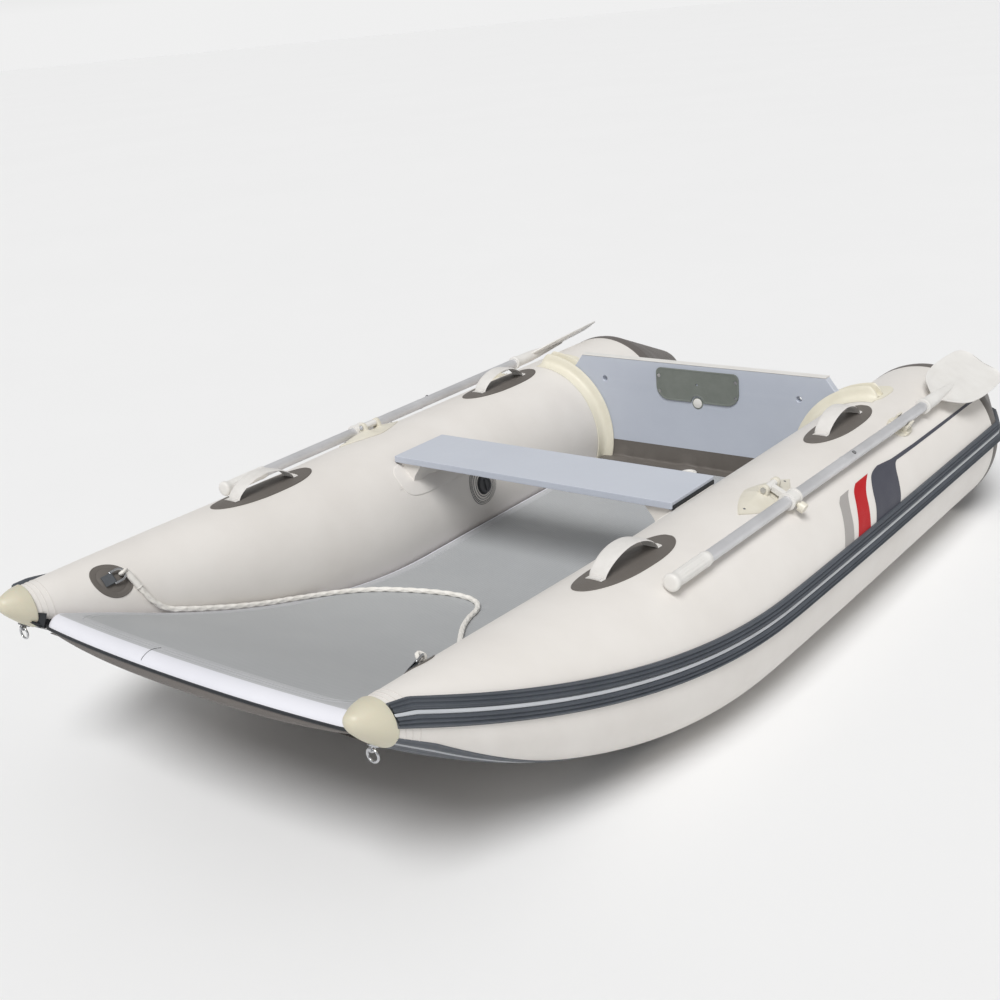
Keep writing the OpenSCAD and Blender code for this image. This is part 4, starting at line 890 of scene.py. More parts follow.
def make_bottom():
    """Bottom skin: a fabric sheet slung between the tubes under the deck."""
    rings = []
    ys = np.concatenate([np.linspace(DECK_FRONT_Y + 0.060, TIP_Y + DECK_RAMP_L, 60),
                         np.linspace(-0.2, TRANSOM_Y + 0.028, 24)])
    u = np.linspace(-1, 1, 41)
    for y in ys:
        sag = 0.036 * min(1, max(0, TRANSOM_Y - 0.04 - y) / 0.5, max(0, y - ys[0]) / 0.3)
        edge = in_deck(0, y, DECK_T + 0.0015)
        half = float(skin_half(edge[1], edge[2]))
        depth = DECK_T + 0.0015 + sag * (1 - u ** 2)
        outer = in_deck(0 * u, y, depth + 0.0018)
        inner = in_deck(0 * u, y, depth)
        outer[:, 0] = u * half
        inner[:, 0] = u * half
        rings.append(np.concatenate([outer, inner[::-1]]))
    loft("bottom_sheet", rings, [TAUPE], "hull", ["bottom_skin"])


def make_gusset(name, side):
    """Black web that closes the gap between the nose cap and the deck's front corner."""
    reach = float(deck_half(DECK_FRONT_Y))
    rows = []
    for s in np.linspace(0, 1, 18):
        y = RIM_Y - 0.020 + 0.070 * s
        a = math.radians(226 - 50 * s)
        r = float(tube_r(y)) - 0.002
        hull = np.array([side * (tube_x(y) + r * math.cos(a)), y, tube_z(y) + r * math.sin(a)])
        deck = deck_point(side * (reach - 0.012 + 0.016 * s), DECK_FRONT_Y + 0.006 + 0.052 * s ** 1.2,
                          0.048 - 0.044 * s)
        rows.append([hull + (deck - hull) * q + np.array([0, 0, -0.005 * math.sin(math.pi * q)])
                     for q in np.linspace(0, 1, 12)])
    rows = np.array(rows)
    parts = [lofted(np.concatenate([rows, (rows - (0, -0.0015, 0.0016))[:, ::-1]], 1))]
    y = RIM_Y - 0.006
    r = float(tube_r(y)) - 0.002
    wall = []
    for s in np.linspace(0, 1, 14):
        a = math.radians(190 + 40 * s)
        hull = np.array([side * (tube_x(y) + r * math.cos(a)), y, tube_z(y) + r * math.sin(a)])
        deck = deck_point(side * (reach - 0.010), DECK_FRONT_Y + 0.004, 0.004 + 0.043 * s)
        wall.append([hull + (deck - hull) * q for q in np.linspace(0, 1, 10)])
    wall = np.array(wall)
    parts.append(lofted(np.concatenate([wall, (wall + (0, 0.0018, 0))[:, ::-1]], 1)))
    joined(name + "_bow_gusset", [(*part, 0) for part in parts], [BLACK], "hull", ["bow_gussets"])


# ---------------------------------------------------------------- painted stripes
def stripe_part(side, left, right, off, rows=40, cols=14):
    """A decal between two edges, each a list of (angle, y), as a part."""
    left, right = np.array(left, float), np.array(right, float)
    rings = []
    for s in np.linspace(0, 1, rows):
        l = [np.interp(s, np.linspace(0, 1, len(left)), left[:, c]) for c in (0, 1)]
        r = [np.interp(s, np.linspace(0, 1, len(right)), right[:, c]) for c in (0, 1)]
        q = np.linspace(0, 1, cols)
        a, y = l[0] + (r[0] - l[0]) * q, l[1] + (r[1] - l[1]) * q
        rings.append(np.concatenate([on_tube(side, y, a, off + 0.0003),
                                     on_tube(side, y[::-1], a[::-1], off)]))
    return lofted(rings)


def curve_through(points):
    """A smooth edge through a few (angle, y) points, y in millimetres."""
    flat = smooth_route([(a, y * MM, 0) for a, y in points], 8)
    return [(a, y) for a, y, _ in flat]


def make_stripes(name, side):
    """Three slanted bars on the outer side, the aft one running on as a thin line to the cone."""
    grey = (curve_through([(44.0, 92), (41, 71), (37, 59), (27, 33), (8, -20)]),
            curve_through([(44.4, 143), (41, 121), (33.4, 95), (23, 72), (8, 34)]))
    red = (curve_through([(44.9, 186), (41, 155), (33.2, 129), (23.3, 101), (8, 56)]),
           curve_through([(45.2, 262), (40.7, 226), (34.9, 197), (26, 175), (8, 134)]))
    dark = (curve_through([(45.6, 322), (44.0, 284), (40.8, 258), (33.3, 230), (22.6, 206), (8, 162)]),
            curve_through([(41.2, 440), (39.6, 408), (35, 387), (28, 370), (17.5, 345), (8, 296)]))
    line_end = TUBE_END_Y - 0.019
    line = ([(45.6, 0.322), (43.4, 0.400), (42.4, 0.546), (42.1, 0.704), (41.8, 0.873), (41.8, line_end)],
            [(41.4, 0.322), (40.4, 0.440), (40.0, 0.546), (39.8, 0.704), (39.8, 0.873), (39.6, line_end)])
    joined(name + "_stripes",
           [(*stripe_part(side, *grey, 0.0003), 0), (*stripe_part(side, *red, 0.0003), 1),
            (*stripe_part(side, *dark, 0.0003), 2), (*stripe_part(side, *line, 0.0004, 60, 5), 2)],
           [GREY_STRIPE, RED, DARK_STRIPE], "hull")


for side_name, side_sign in SIDES.items():
    make_tube(side_name, side_sign)
    make_seams(side_name, side_sign)
    make_cap(side_name, side_sign)
    make_cone(side_name, side_sign)
    make_strake(side_name, side_sign)
    make_gusset(side_name, side_sign)
    make_stripes(side_name, side_sign)
make_keel()
make_deck()
make_deck_seams()
make_bottom()
make_rope()


# ---------------------------------------------------------------- transom
def inset(loop, d):
    """A closed outline moved d towards its left-hand side."""
    p = np.asarray(loop, float)
    a, b = p - np.roll(p, 1, 0), np.roll(p, -1, 0) - p
    a /= np.linalg.norm(a, axis=1)[:, None]
    b /= np.linalg.norm(b, axis=1)[:, None]
    na, nb = np.stack([-a[:, 1], a[:, 0]], 1), np.stack([-b[:, 1], b[:, 0]], 1)
    n = na + nb
    return p + d * n / np.maximum(0.4, (n * na).sum(1))[:, None]


def slab(name, loops, y0, y1, mats, body, replaced, soft=0.0015, rim=0.0):
    """An upright board from y0 to y1. The first loop is its outline, anticlockwise in (x, z), and the
    rest are holes, clockwise. soft rounds its edges, and rim sinks its fore face inside a raised border."""
    bm = bmesh.new()
    steps = [(soft * (1 - math.sin(q)), soft * (1 - math.cos(q))) for q in np.linspace(0, math.pi / 2, 4)]
    rows = [(d, y0 + e) for d, e in steps] + [(d, y1 - e) for d, e in steps[::-1]]
    first, last = [], []
    for index, loop in enumerate(loops):
        line = [(d, max(y, y0 + rim)) for d, y in rows] if index else list(rows)
        if rim and index == 0:
            line = [(soft + 0.0045, y0 + rim), (soft + 0.0038, y0 + rim * 0.4), (soft + 0.0034, y0)] + line
        prev = None
        for d, y in line:
            verts = [bm.verts.new((x, y, z)) for x, z in inset(loop, d)]
            if prev:
                for i in range(len(verts)):
                    j = (i + 1) % len(verts)
                    bm.faces.new((prev[i], prev[j], verts[j], verts[i]))
            else:
                first.append(verts)
            prev = verts
        last.append(prev)
    for group in (first, last):
        flat = [v for vs in group for v in vs]
        for tri in tessellate_polygon([[Vector((v.co.x, v.co.z, 0)) for v in vs] for vs in group]):
            bm.faces.new([flat[i] for i in tri])
    bm.verts.index_update()
    verts = [tuple(v.co) for v in bm.verts]
    faces = [tuple(v.index for v in f.verts) for f in bm.faces]
    bm.free()
    return piece(name, verts, faces, mats, body, replaced, crease=12)


def ring_loop(x, z, r, n=40):
    t = np.linspace(0, -2 * math.pi, n, endpoint=False)
    return [(x + r * math.cos(q), z + r * math.sin(q)) for q in t]


TRANSOM_TOP, TRANSOM_FOOT, TRANSOM_HALF = 0.483, 0.0918, 0.421
PLATE_Z, PLATE_W, PLATE_H, PLATE_THICK = 0.418, 0.286, 0.102, 0.004
BOLTS = [(x * 0.133, PLATE_Z + z * 0.025) for x in (-1, 1) for z in (-1, 1)]


def arc(x, z, r, a0, a1, n):
    return [(x + r * math.cos(q), z + r * math.sin(q)) for q in np.radians(np.linspace(a0, a1, n))]


def make_transom_board():
    """Painted board with hollow sides round the tubes, clipped top corners and two tie holes."""
    r = TUBE_R + 0.0058
    side = []
    for a in np.linspace(203, 100, 50):
        x, z = TUBE_X + r * math.cos(math.radians(a)), TUBE_Z + r * math.sin(math.radians(a))
        if TRANSOM_FOOT < z < TRANSOM_TOP - 0.034 and x < TRANSOM_HALF + 0.060:
            side.append((x, z))
    top = [(TRANSOM_HALF + 0.025, TRANSOM_TOP - 0.033), (TRANSOM_HALF, TRANSOM_TOP)]
    foot_x = TUBE_X - math.sqrt(r * r - (TRANSOM_FOOT - TUBE_Z) ** 2)
    right = [(foot_x, TRANSOM_FOOT)] + side + top
    outline = right + [(-x, z) for x, z in right[::-1]]
    holes = [ring_loop(s * 0.337, 0.413, 0.0085) for s in (-1, 1)]
    holes += [ring_loop(x, z, 0.0026, 16) for x, z in BOLTS]
    slab("transom_panel", [outline] + holes, TRANSOM_Y - TRANSOM_T / 2, TRANSOM_Y + TRANSOM_T / 2, [BOARD],
         "hull", ["transom_board"], 0.0022)


def make_plates():
    """Motor clamp plates: rounded outline, raised border, a bite out of the foot and flush screws."""
    w, h = PLATE_W / 2, PLATE_H / 2
    notch = arc(0, -h, 0.021, 180, 0, 24)
    outline = arc(w - 0.018, h - 0.018, 0.018, 0, 90, 10) + arc(-w + 0.018, h - 0.018, 0.018, 90, 180, 10)
    outline += arc(-w + 0.042, -h + 0.042, 0.042, 180, 270, 16) + notch
    outline += arc(w - 0.042, -h + 0.042, 0.042, 270, 360, 16)
    outline = [(x, PLATE_Z + z) for x, z in outline]
    holes = [ring_loop(x, z, 0.0062, 28) for x, z in BOLTS] + [ring_loop(0, PLATE_Z + 0.006, 0.004, 24)]
    for name, y in (("inner", TRANSOM_Y - TRANSOM_T / 2 - PLATE_THICK), ("outer", TRANSOM_Y + TRANSOM_T / 2)):
        slab(name + "_clamp_plate", [outline] + holes, y, y + PLATE_THICK, [PLATE], "hull",
             [name + "_motor_plate"], 0.0007, 0.0006 if name == "inner" else 0.0)
    # pale half-round tab that shows in the bite, in a shallow dark seat
    m = (Matrix.Translation((0, TRANSOM_Y - TRANSOM_T / 2, PLATE_Z - h - 0.002))
         @ Matrix.Rotation(math.pi / 2, 4, "X"))
    seat = turned([(0.0190, 0.0), (0.0188, 0.0007), (0.0001, 0.0008)], 48)
    tab = turned([(0.0150, 0.0007), (0.0147, 0.0024), (0.0130, 0.0032), (0.0001, 0.0034)], 48)
    joined("plug_tab", [(*lofted(moved(seat, m), caps=False), 0), (*lofted(moved(tab, m), caps=False), 1)],
           [PLATE, PLASTIC], "hull")


def make_transom_holder(name, side):
    """Moulded channel that grips the board, with a tongue pad along the crown."""
    half_in, half_out, flare = TRANSOM_T / 2 + 0.0005, TRANSOM_T / 2 + 0.013, 0.030
    up = [(-half_out - flare, 0.0005), (-half_out - flare + 0.001, 0.0026), (-half_out - flare * 0.55, 0.0036),
          (-half_out - flare * 0.18, 0.0062), (-half_out, 0.0105), (-half_out + 0.0022, 0.0165),
          (-half_out + 0.0036, 0.0250), (-half_out + 0.0050, 0.0315), (-half_in - 0.0050, 0.0358),
          (-half_in - 0.0020, 0.0355), (-half_in - 0.0003, 0.0330), (-half_in, 0.0060)]
    profile = up + [(-q, h) for q, h in up[::-1]]
    across = np.array([p[0] for p in profile])
    height = np.array([p[1] for p in profile])
    y = TRANSOM_Y + across
    rings = []
    for a in np.linspace(88, 206, 90):
        end = np.clip(min(a - 88, 206 - a) / 6 + 0.06, 0, 1) ** 0.6
        top = on_tube(side, y, a, 0.0003 + height * end)
        low = on_tube(side, y[::-4], a, 0.0002)
        rings.append(np.concatenate([top, low]))
    parts = [(*lofted(rings), 0)]
    parts.append((*patch_part(side, TRANSOM_Y + 0.030, 97.5, 0.150, 0.094, 0.0032, 3.2, 40, 20, 0.004), 0))
    # the holder takes the lighter copy of the ivory rubber, with painted light
    joined(name + "_holder_channel", parts, [IVORY_PAINTED_LIGHT], "hull", [name + "_transom_holder"])


def make_flap():
    """Fabric flap between the transom's foot and the deck, a little slack along its fold."""
    y1, y0 = TRANSOM_Y - TRANSOM_T / 2 - 0.0008, DECK_TAIL_Y - 0.018
    foot, top = DECK_TOP + 0.0012, 0.212
    reach = 0.352
    rings = []
    xs = np.linspace(-1, 1, 121)
    wave = 0.0028 * np.sin(xs * 9.5) * np.cos(xs * 4.1 + 0.6) + 0.0016 * np.sin(xs * 23 + 1)
    for s in np.concatenate([np.linspace(0, 0.42, 12), np.linspace(0.45, 0.55, 6), np.linspace(0.58, 1, 16)]):
        if s < 0.45:
            y, z = y0 + (y1 - 0.006 - y0) * s / 0.45, foot
        elif s <= 0.55:
            q = (s - 0.45) / 0.10 * math.pi / 2
            y, z = y1 - 0.006 + 0.006 * math.sin(q), foot + 0.006 * (1 - math.cos(q))
        else:
            y, z = y1, foot + 0.006 + (top - foot - 0.006) * (s - 0.55) / 0.45
        slack = math.sin(math.pi * min(1, s / 0.9)) ** 2
        half = min(reach, float(tube_in(y, z)) - 0.004) if s < 0.5 else float(tube_in(y, z)) - 0.004
        yy = y - np.abs(wave) * slack * (1.6 if s > 0.45 else 0.2)
        zz = z + np.abs(wave) * slack * (0.4 if s > 0.55 else 1.2)
        rings.append(np.stack([xs * half, np.broadcast_to(yy, xs.shape), np.broadcast_to(zz, xs.shape)], 1))
    rings = np.array(rings)
    back = rings + np.array([0, 0.0004, -0.0004])
    cloth = loft("transom_foot_flap", np.concatenate([rings, back[:, ::-1]], 1), [TAUPE_DARK], "hull",
                 ["transom_flap"], crease=60)


# ---------------------------------------------------------------- bench carriers
SEAT_TOP, SEAT_T, SEAT_W = 0.424, 0.018, 0.206
LEDGE_Z = SEAT_TOP - SEAT_T - 0.003 - 0.0003


def tube_inner_x(z):
    return TUBE_X - math.sqrt(TUBE_R ** 2 - (z - TUBE_Z) ** 2)


def make_bench_carrier(name, side):
    """Pad glued to the tube with a stitched outline, a fabric hanger and a flat ledge under the bench."""
    parts = [(*patch_part(side, SEAT_Y - 0.010, 140.0, 0.262, 0.118, 0.0016, 3.4, 50, 20, 0.002), 0)]
    wx = tube_inner_x(LEDGE_Z - 0.040) - 0.003
    lip = wx - 0.040
    outline = [(lip, LEDGE_Z + 0.0026), (lip + 0.030, LEDGE_Z + 0.003), (wx + 0.046, LEDGE_Z + 0.003),
               (wx + 0.046, LEDGE_Z - 0.002), (wx + 0.020, LEDGE_Z - 0.018), (wx + 0.006, LEDGE_Z - 0.036),
               (wx - 0.004, LEDGE_Z - 0.058), (wx - 0.008, LEDGE_Z - 0.058), (wx - 0.016, LEDGE_Z - 0.034),
               (lip + 0.006, LEDGE_Z - 0.010), (lip - 0.0005, LEDGE_Z - 0.001)]
    flat = even(np.array([(x, 0, z) for x, z in outline + outline[:1]]), 0.004)[0][:-1]
    rings = []
    for y in ease(SEAT_Y - 0.091, SEAT_Y + 0.091, 36):
        q = (y - SEAT_Y) / 0.091
        sag = 0.0028 * math.cos(q * 9) * (1 - q ** 2)
        ring = flat.copy()
        low = np.clip((LEDGE_Z - 0.004 - ring[:, 2]) / 0.03, 0, 1)
        ring[:, 2] -= sag * low
        ring[:, 0] -= 0.0016 * math.sin(q * 7) * low
        ring[:, 0] *= side
        ring[:, 1] = y
        rings.append(ring)
    parts.append((*lofted(rings), 0))
    outline_pts = [(-0.272, 144.7), (-0.245, 145.4), (-0.164, 151.3), (-0.091, 154.4), (-0.040, 155.8),
                   (0.006, 156.0), (0.010, 153.0), (-0.010, 149.5), (-0.036, 146.1)]
    thread = [on_tube(side, y, a, 0.0006) for y, a in outline_pts]
    curve = smooth_route(thread, 8)
    parts.append((*lofted(swept_rings(even(curve, 0.004)[0], circle(0.0007, 6))), 1))
    seam = smooth_route([on_tube(side, y, a - 1.6, 0.0008) for y, a in outline_pts], 8)
    parts.append((*stitched([seam]), 2))
    joined(name + "_bench_carrier", parts, [PVC, PVC_SEAM, THREAD], "hull", ["seat_brackets"],
           crease=50)


def make_bench_edge(name, side):
    """Black rubber strip under the end of the bench."""
    half = max(v.co.x for v in nodes["seat_board"].data.vertices)
    flat = [(half - 0.010, -0.0022), (half - 0.001, -0.0026), (half + 0.0022, -0.0016), (half + 0.0026, 0.004),
            (half + 0.0022, 0.0085), (half + 0.0002, 0.0095), (half + 0.0002, -0.0001), (half - 0.010, -0.0001)]
    rings = [[(side * x, y, SEAT_TOP - SEAT_T + z) for x, z in flat]
             for y in np.linspace(SEAT_Y - SEAT_W / 2 + 0.004, SEAT_Y + SEAT_W / 2 - 0.004, 12)]
    loft(name + "_bench_edge", rings, [BLACK], "bench")


# ---------------------------------------------------------------- carry handles
FORE_HANDLE_Y, AFT_HANDLE_Y = -0.608, 0.428
SPAN, STRAP_W, STRAP_RISE = 0.196, 0.040, 0.046


def strap_part(side, y, rows=64):
    """Flat strap with rolled edges, bowed up between two flat feet."""
    foot = 0.016
    v = np.linspace(-1, 1, 15)
    edge = np.sqrt(np.clip(1 - np.abs(v) ** 7, 0, 1)) * 0.9 + 0.1
    rings = []
    for i in range(-5, rows + 6):
        if i < 0:
            yy = y - SPAN / 2 - foot * (-i / 5)
        elif i > rows:
            yy = y + SPAN / 2 + foot * ((i - rows) / 5)
        else:
            yy = y - SPAN / 2 * math.cos(math.pi * i / rows)
        q = min(1, max(0, (yy - y + SPAN / 2) / SPAN))
        h = 0.0026 + (STRAP_RISE - 0.0025) * max(0.0, math.sin(math.pi * q)) ** 0.62
        turn = math.degrees(STRAP_W / 2 / float(hull_r(yy)))
        ribs = 0.00025 * np.cos(v * math.pi * 5)
        top = on_tube(side, yy, 90 + turn * v, h + 0.0027 * edge + ribs * (edge > 0.9))
        low = on_tube(side, yy, 90 + turn * v[::-1], h + 0.0003 * (1 - edge))
        rings.append(np.concatenate([top, low]))
    return lofted(rings)


def foot_stitches(side, y):
    """A stitched box at each foot of a strap."""
    runs = []
    for s in (-1, 1):
        a, b = y + s * (SPAN / 2 + 0.0145), y + s * (SPAN / 2 - 0.004)
        turn = math.degrees(0.016 / float(hull_r(y)))
        for ya, yb, aa, ab in ((a, a, -1, 1), (a, b, -1, -1), (a, b, 1, 1)):
            runs.append([on_tube(side, ya + (yb - ya) * q, 90 + turn * (aa + (ab - aa) * q), 0.0056)
                         for q in np.linspace(0, 1, 12)])
    return stitched(runs)


def handle_patch_part(side, y0):
    """Patch with a pointed-oval fore end, a rounder aft end and a raised rim."""
    length, width, cols = 0.350, 0.104, 26
    rings = []
    for u in np.sin(np.linspace(-math.pi / 2, math.pi / 2, 70)):
        y = y0 + u * length / 2
        power = 2.0 if u < 0 else 3.0
        half = max(0.0005, width / 2 * max(0.0, 1 - abs(u) ** power) ** (1 / 2.1))
        v = np.sin(np.linspace(-math.pi / 2, math.pi / 2, cols + 1))
        inside = np.minimum((1 - np.abs(v)) * half, (1 - abs(u)) * length / 2 * 0.8)
        top = 0.0021 * rounded_edge(inside + 0.0001, 0.0022) - 0.0005 * np.clip((inside - 0.004) / 0.003, 0, 1)
        turn = np.degrees(half / hull_r(y))
        rings.append(np.concatenate([on_tube(side, y, 90 + turn * v, 0.0002 + top),
                                     on_tube(side, y, 90 + turn * v[::-1], 0.0001)]))
    return lofted(rings)


def make_handles(name, side):
    pair = (("fore", FORE_HANDLE_Y), ("aft", AFT_HANDLE_Y))
    joined(name + "_handle_patches", [(*handle_patch_part(side, y), 0) for _, y in pair], [TAUPE_DARK], "hull",
           ["handle_patches"])
    for word, y in pair:
        joined(f"{name}_{word}_strap", [(*strap_part(side, y), 0), (*foot_stitches(side, y), 1)],
               [WEB_WHITE, THREAD], "hull", [word + "_handle_straps"], crease=55)


# ---------------------------------------------------------------- bow ring patches
def make_ring_patch(name, side):
    """Round patch with a raised rim, and the webbing loop sewn to it that holds the ring."""
    wrap = round_on_tube(side, RING_Y, RING_A)
    profile = [(0.0460, 0.0002), (0.0458, 0.0014), (0.0448, 0.0020), (0.0435, 0.0019), (0.0428, 0.0014),
               (0.0415, 0.0013), (0.0330, 0.0017), (0.0322, 0.0012), (0.0312, 0.0017), (0.0150, 0.0021),
               (0.0001, 0.0022)]
    parts = [(*polar_part(wrap, profile), 0)]
    m = Matrix(tube_frame(side, RING_Y, RING_A, 0.0003))
    bar_h = 0.0052 + 0.0010
    turn_r = 0.0036
    loop = [(-0.024 + 0.024 * q, 0.0030) for q in np.linspace(0, 0.95, 8)]
    loop += [(turn_r * math.sin(q), bar_h + 0.0004 - turn_r * math.cos(q)) for q in np.linspace(0.1, math.pi, 14)]
    loop += [(-0.024 * q, bar_h + 0.0040 - 0.0052 * q ** 0.8) for q in np.linspace(0.05, 1, 9)]
    path = np.array([(x, 0, z) for x, z in loop])
    flat = np.array([(-0.0125, -0.0007), (0.0125, -0.0007), (0.0129, 0), (0.0125, 0.0007), (-0.0125, 0.0007),
                     (-0.0129, 0)])
    rings = swept_rings(path, flat, up=(-0.2, 0, 1))
    d = np.gradient(path, axis=0)
    d /= np.linalg.norm(d, axis=1)[:, None]
    wide = np.array([0, 1.0, 0])
    high = np.cross(d, wide)
    rings = path[:, None] + flat[None, :, :1] * wide + flat[None, :, 1:] * high[:, None]
    parts.append((*lofted(moved(rings, m)), 1))
    rows = [moved(np.array([(x, y, 0.0042) for y in np.linspace(-0.011, 0.011, 10)]), m)
            for x in (-0.0215, -0.012)]
    parts.append((*stitched(rows), 2))
    joined(name + "_ring_patch", parts, [TAUPE_DARK, WEB_DARK, THREAD_DARK], "hull",
           ["ring_patches", "ring_webbing"])


# ---------------------------------------------------------------- oarlocks
LOCK_Y, LOCK_A, LOCK_PIN_H = -0.102, 73.0, 0.026
PIN_C = on_tube(1, LOCK_Y, LOCK_A, LOCK_PIN_H)
LOCK_C = np.array([PIN_C[0] + 0.058 * math.cos(math.radians(27)), LOCK_Y,
                   PIN_C[2] - 0.058 * math.sin(math.radians(27))])
LUG_GAP, LUG_T, LUG_R = 0.044, 0.012, 0.012


def lug_part(side, y):
    """Rounded lug that carries one end of the pin."""
    outline = [(LUG_R * math.cos(q), LUG_R * math.sin(q)) for q in np.linspace(0, math.pi, 20)]
    outline = [(LUG_R * 1.25, -0.0200), (LUG_R * 1.05, -0.010)] + outline
    outline += [(-LUG_R * 1.05, -0.010), (-LUG_R * 1.25, -0.0200)]
    pts = np.array(outline)
    tilt = math.radians(LOCK_A - 90)
    rings = []
    for s, inset in ((-0.5, 0.0016), (-0.46, 0.0006), (-0.38, 0.0), (0.38, 0.0), (0.46, 0.0006), (0.5, 0.0016)):
        q = pts * (1 - inset / LUG_R)
        x = q[:, 0] * math.cos(tilt) - q[:, 1] * math.sin(tilt)
        z = q[:, 0] * math.sin(tilt) + q[:, 1] * math.cos(tilt)
        rings.append(np.stack([side * (PIN_C[0] + x), np.full(len(x), y + s * LUG_T), PIN_C[2] + z], 1))
    return lofted(rings)


def make_oarlock(name, side):
    """Cream boat-shaped fairing: a thin skirt, a raised saddle and two lugs."""
    length, width, middle = 0.250, 0.104, LOCK_Y - 0.014
    rings = []
    v = np.linspace(-1, 1, 31)
    for u in ease(-1, 1, 60):
        y = middle + u * length / 2
        half = width / 2 * max(0.03, 1 - abs(u) ** 1.35) ** 0.85
        ridge = 0.0150 * max(0.0, 1 - (abs(u) / 0.95) ** 1.15)
        saddle = 0.55 + 0.45 * float(np.clip((abs(y - LOCK_Y) - 0.018) / 0.006, 0, 1))
        top = 0.0030 + ridge * saddle * np.clip(1.20 - np.abs(v) * 1.30, 0, 1) - 0.0008 * (np.abs(v) > 0.86)
        inside = (1 - np.abs(v)) * half
        top = top * rounded_edge(inside + 0.0002, 0.0022)
        turn = math.degrees(half / TUBE_R)
        rings.append(np.concatenate([on_tube(side, y, LOCK_A + turn * v, 0.0004 + top),
                                     on_tube(side, y, LOCK_A + turn * v[::-1], 0.0003)]))
    parts = [(*lofted(rings), 0)]
    parts += [(*lug_part(side, LOCK_Y + s * (LUG_GAP + LUG_T) / 2), 0) for s in (-1, 1)]
    # recessed screws that hold the fairing down
    for u in (-0.80, 0.80):
        m = tube_frame(side, middle + u * length / 2, LOCK_A, 0.0058)
        head = turned([(0.0034, -0.001), (0.0033, 0.0008), (0.0026, 0.0013), (0.0009, 0.0013), (0.0007, 0.0004),
                       (0.0001, 0.0004)], 24)
        parts.append((*lofted(moved(head, m), caps=False), 1))
    joined(name + "_oarlock_fairing", parts, [IVORY_PLASTIC, STEEL], "hull", ["oarlock_bases"],
           crease=50)


# ---------------------------------------------------------------- oars
OAR_TOE, SHAFT_R = math.radians(0.9), 0.0145
GRIP_END = -0.532
BLADE_Y, BLADE_L, BLADE_W, BLADE_T, BLADE_TILT = 0.782, 0.446, 0.168, 0.005, math.radians(29)
SOCKET_L, SPINE_L = 0.086, 0.290


def oar_matrix(side, y=0.0, roll=0.0):
    """Frame along an oar with Z running towards the blade, in the row frame."""
    m = Matrix.Translation(LOCK_C) @ Matrix.Rotation(-OAR_TOE, 4, "Z") @ Matrix.Translation((0, y, 0))
    m = m @ Matrix.Rotation(roll, 4, "Y") @ Matrix.Rotation(-math.pi / 2, 4, "X")
    return Matrix.Diagonal((side, 1, 1, 1)) @ m


def make_grip(name, side):
    """Grip with shallow finger flutes along its length and a flared end disc."""
    prof = [(0.0001, -0.0003), (0.0120, -0.0003), (0.0172, 0.0006), (0.0194, 0.0028), (0.0200, 0.0060),
            (0.0198, 0.0105), (0.0186, 0.0140), (0.0172, 0.0190), (0.0166, 0.0240)]
    prof += [(0.0166 + 0.0007 * math.sin(q * math.pi), 0.026 + 0.104 * q) for q in np.linspace(0, 1, 24)]
    prof += [(0.0174, 0.1345), (0.0176, 0.1380), (0.0174, 0.1415), (0.0164, 0.1440), (0.0160, 0.1490),
             (0.0150, 0.1500), (0.0147, 0.1498)]

    def flutes(t, h):
        deep = np.clip(min(h - 0.024, 0.132 - h) / 0.006, 0, 1)
        return 1 - 0.050 * deep * (0.5 + 0.5 * np.cos(12 * t)) ** 3
    m = oar_matrix(side, GRIP_END)
    joined(name + "_grip", [(*lofted(moved(turned(prof, 120, flutes), m), caps=False), 0)], [PLASTIC],
           name + "_oar", [name + "_oar_grip"], crease=60)


def make_shaft(name, side):
    """Two-part alloy shaft: the aft half slips into the fore one at a swaged lip by the snap button."""
    lip = 0.330 - 0.045
    y0, y1 = GRIP_END + 0.012, BLADE_Y + 0.080
    prof = [(0.0130, 0.0), (SHAFT_R, 0.0), (SHAFT_R, lip - y0 - 0.004), (SHAFT_R + 0.0007, lip - y0 - 0.002),
            (SHAFT_R + 0.0007, lip - y0), (SHAFT_R - 0.0001, lip - y0 + 0.0006), (SHAFT_R - 0.0001, y1 - y0),
            (0.0130, y1 - y0)]
    rows = []
    for (r0, h0), (r1, h1) in zip(prof, prof[1:]):
        n = max(1, int(abs(h1 - h0) / 0.05))
        rows += [(r0 + (r1 - r0) * k / n, h0 + (h1 - h0) * k / n) for k in range(n)]
    rows.append(prof[-1])
    m = oar_matrix(side, y0)
    parts = [(*lofted(moved(turned(rows, 72), m), caps=False), 0)]
    # painted shade: a dark ring round the hole that the snap button stands in, for the shade in the gap between
    # button and shaft
    hole = oar_matrix(side, 0.330) @ Matrix.Rotation(math.radians(30) - math.pi / 2, 4, "Z")
    hole = hole @ Matrix.Translation((SHAFT_R - 0.0002, 0, 0)) @ Matrix.Rotation(math.pi / 2, 4, "Y")
    rim = turned([(0.0056, -0.0004), (0.0054, 0.0006), (0.0046, 0.0006), (0.0043, -0.0004)], 32)
    parts.append((*lofted(moved(rim, hole), caps=False), 1))
    joined(name + "_shaft", parts, [ALLOY, THREAD_DARK], name + "_oar", [name + "_oar_shaft"],
           crease=50)


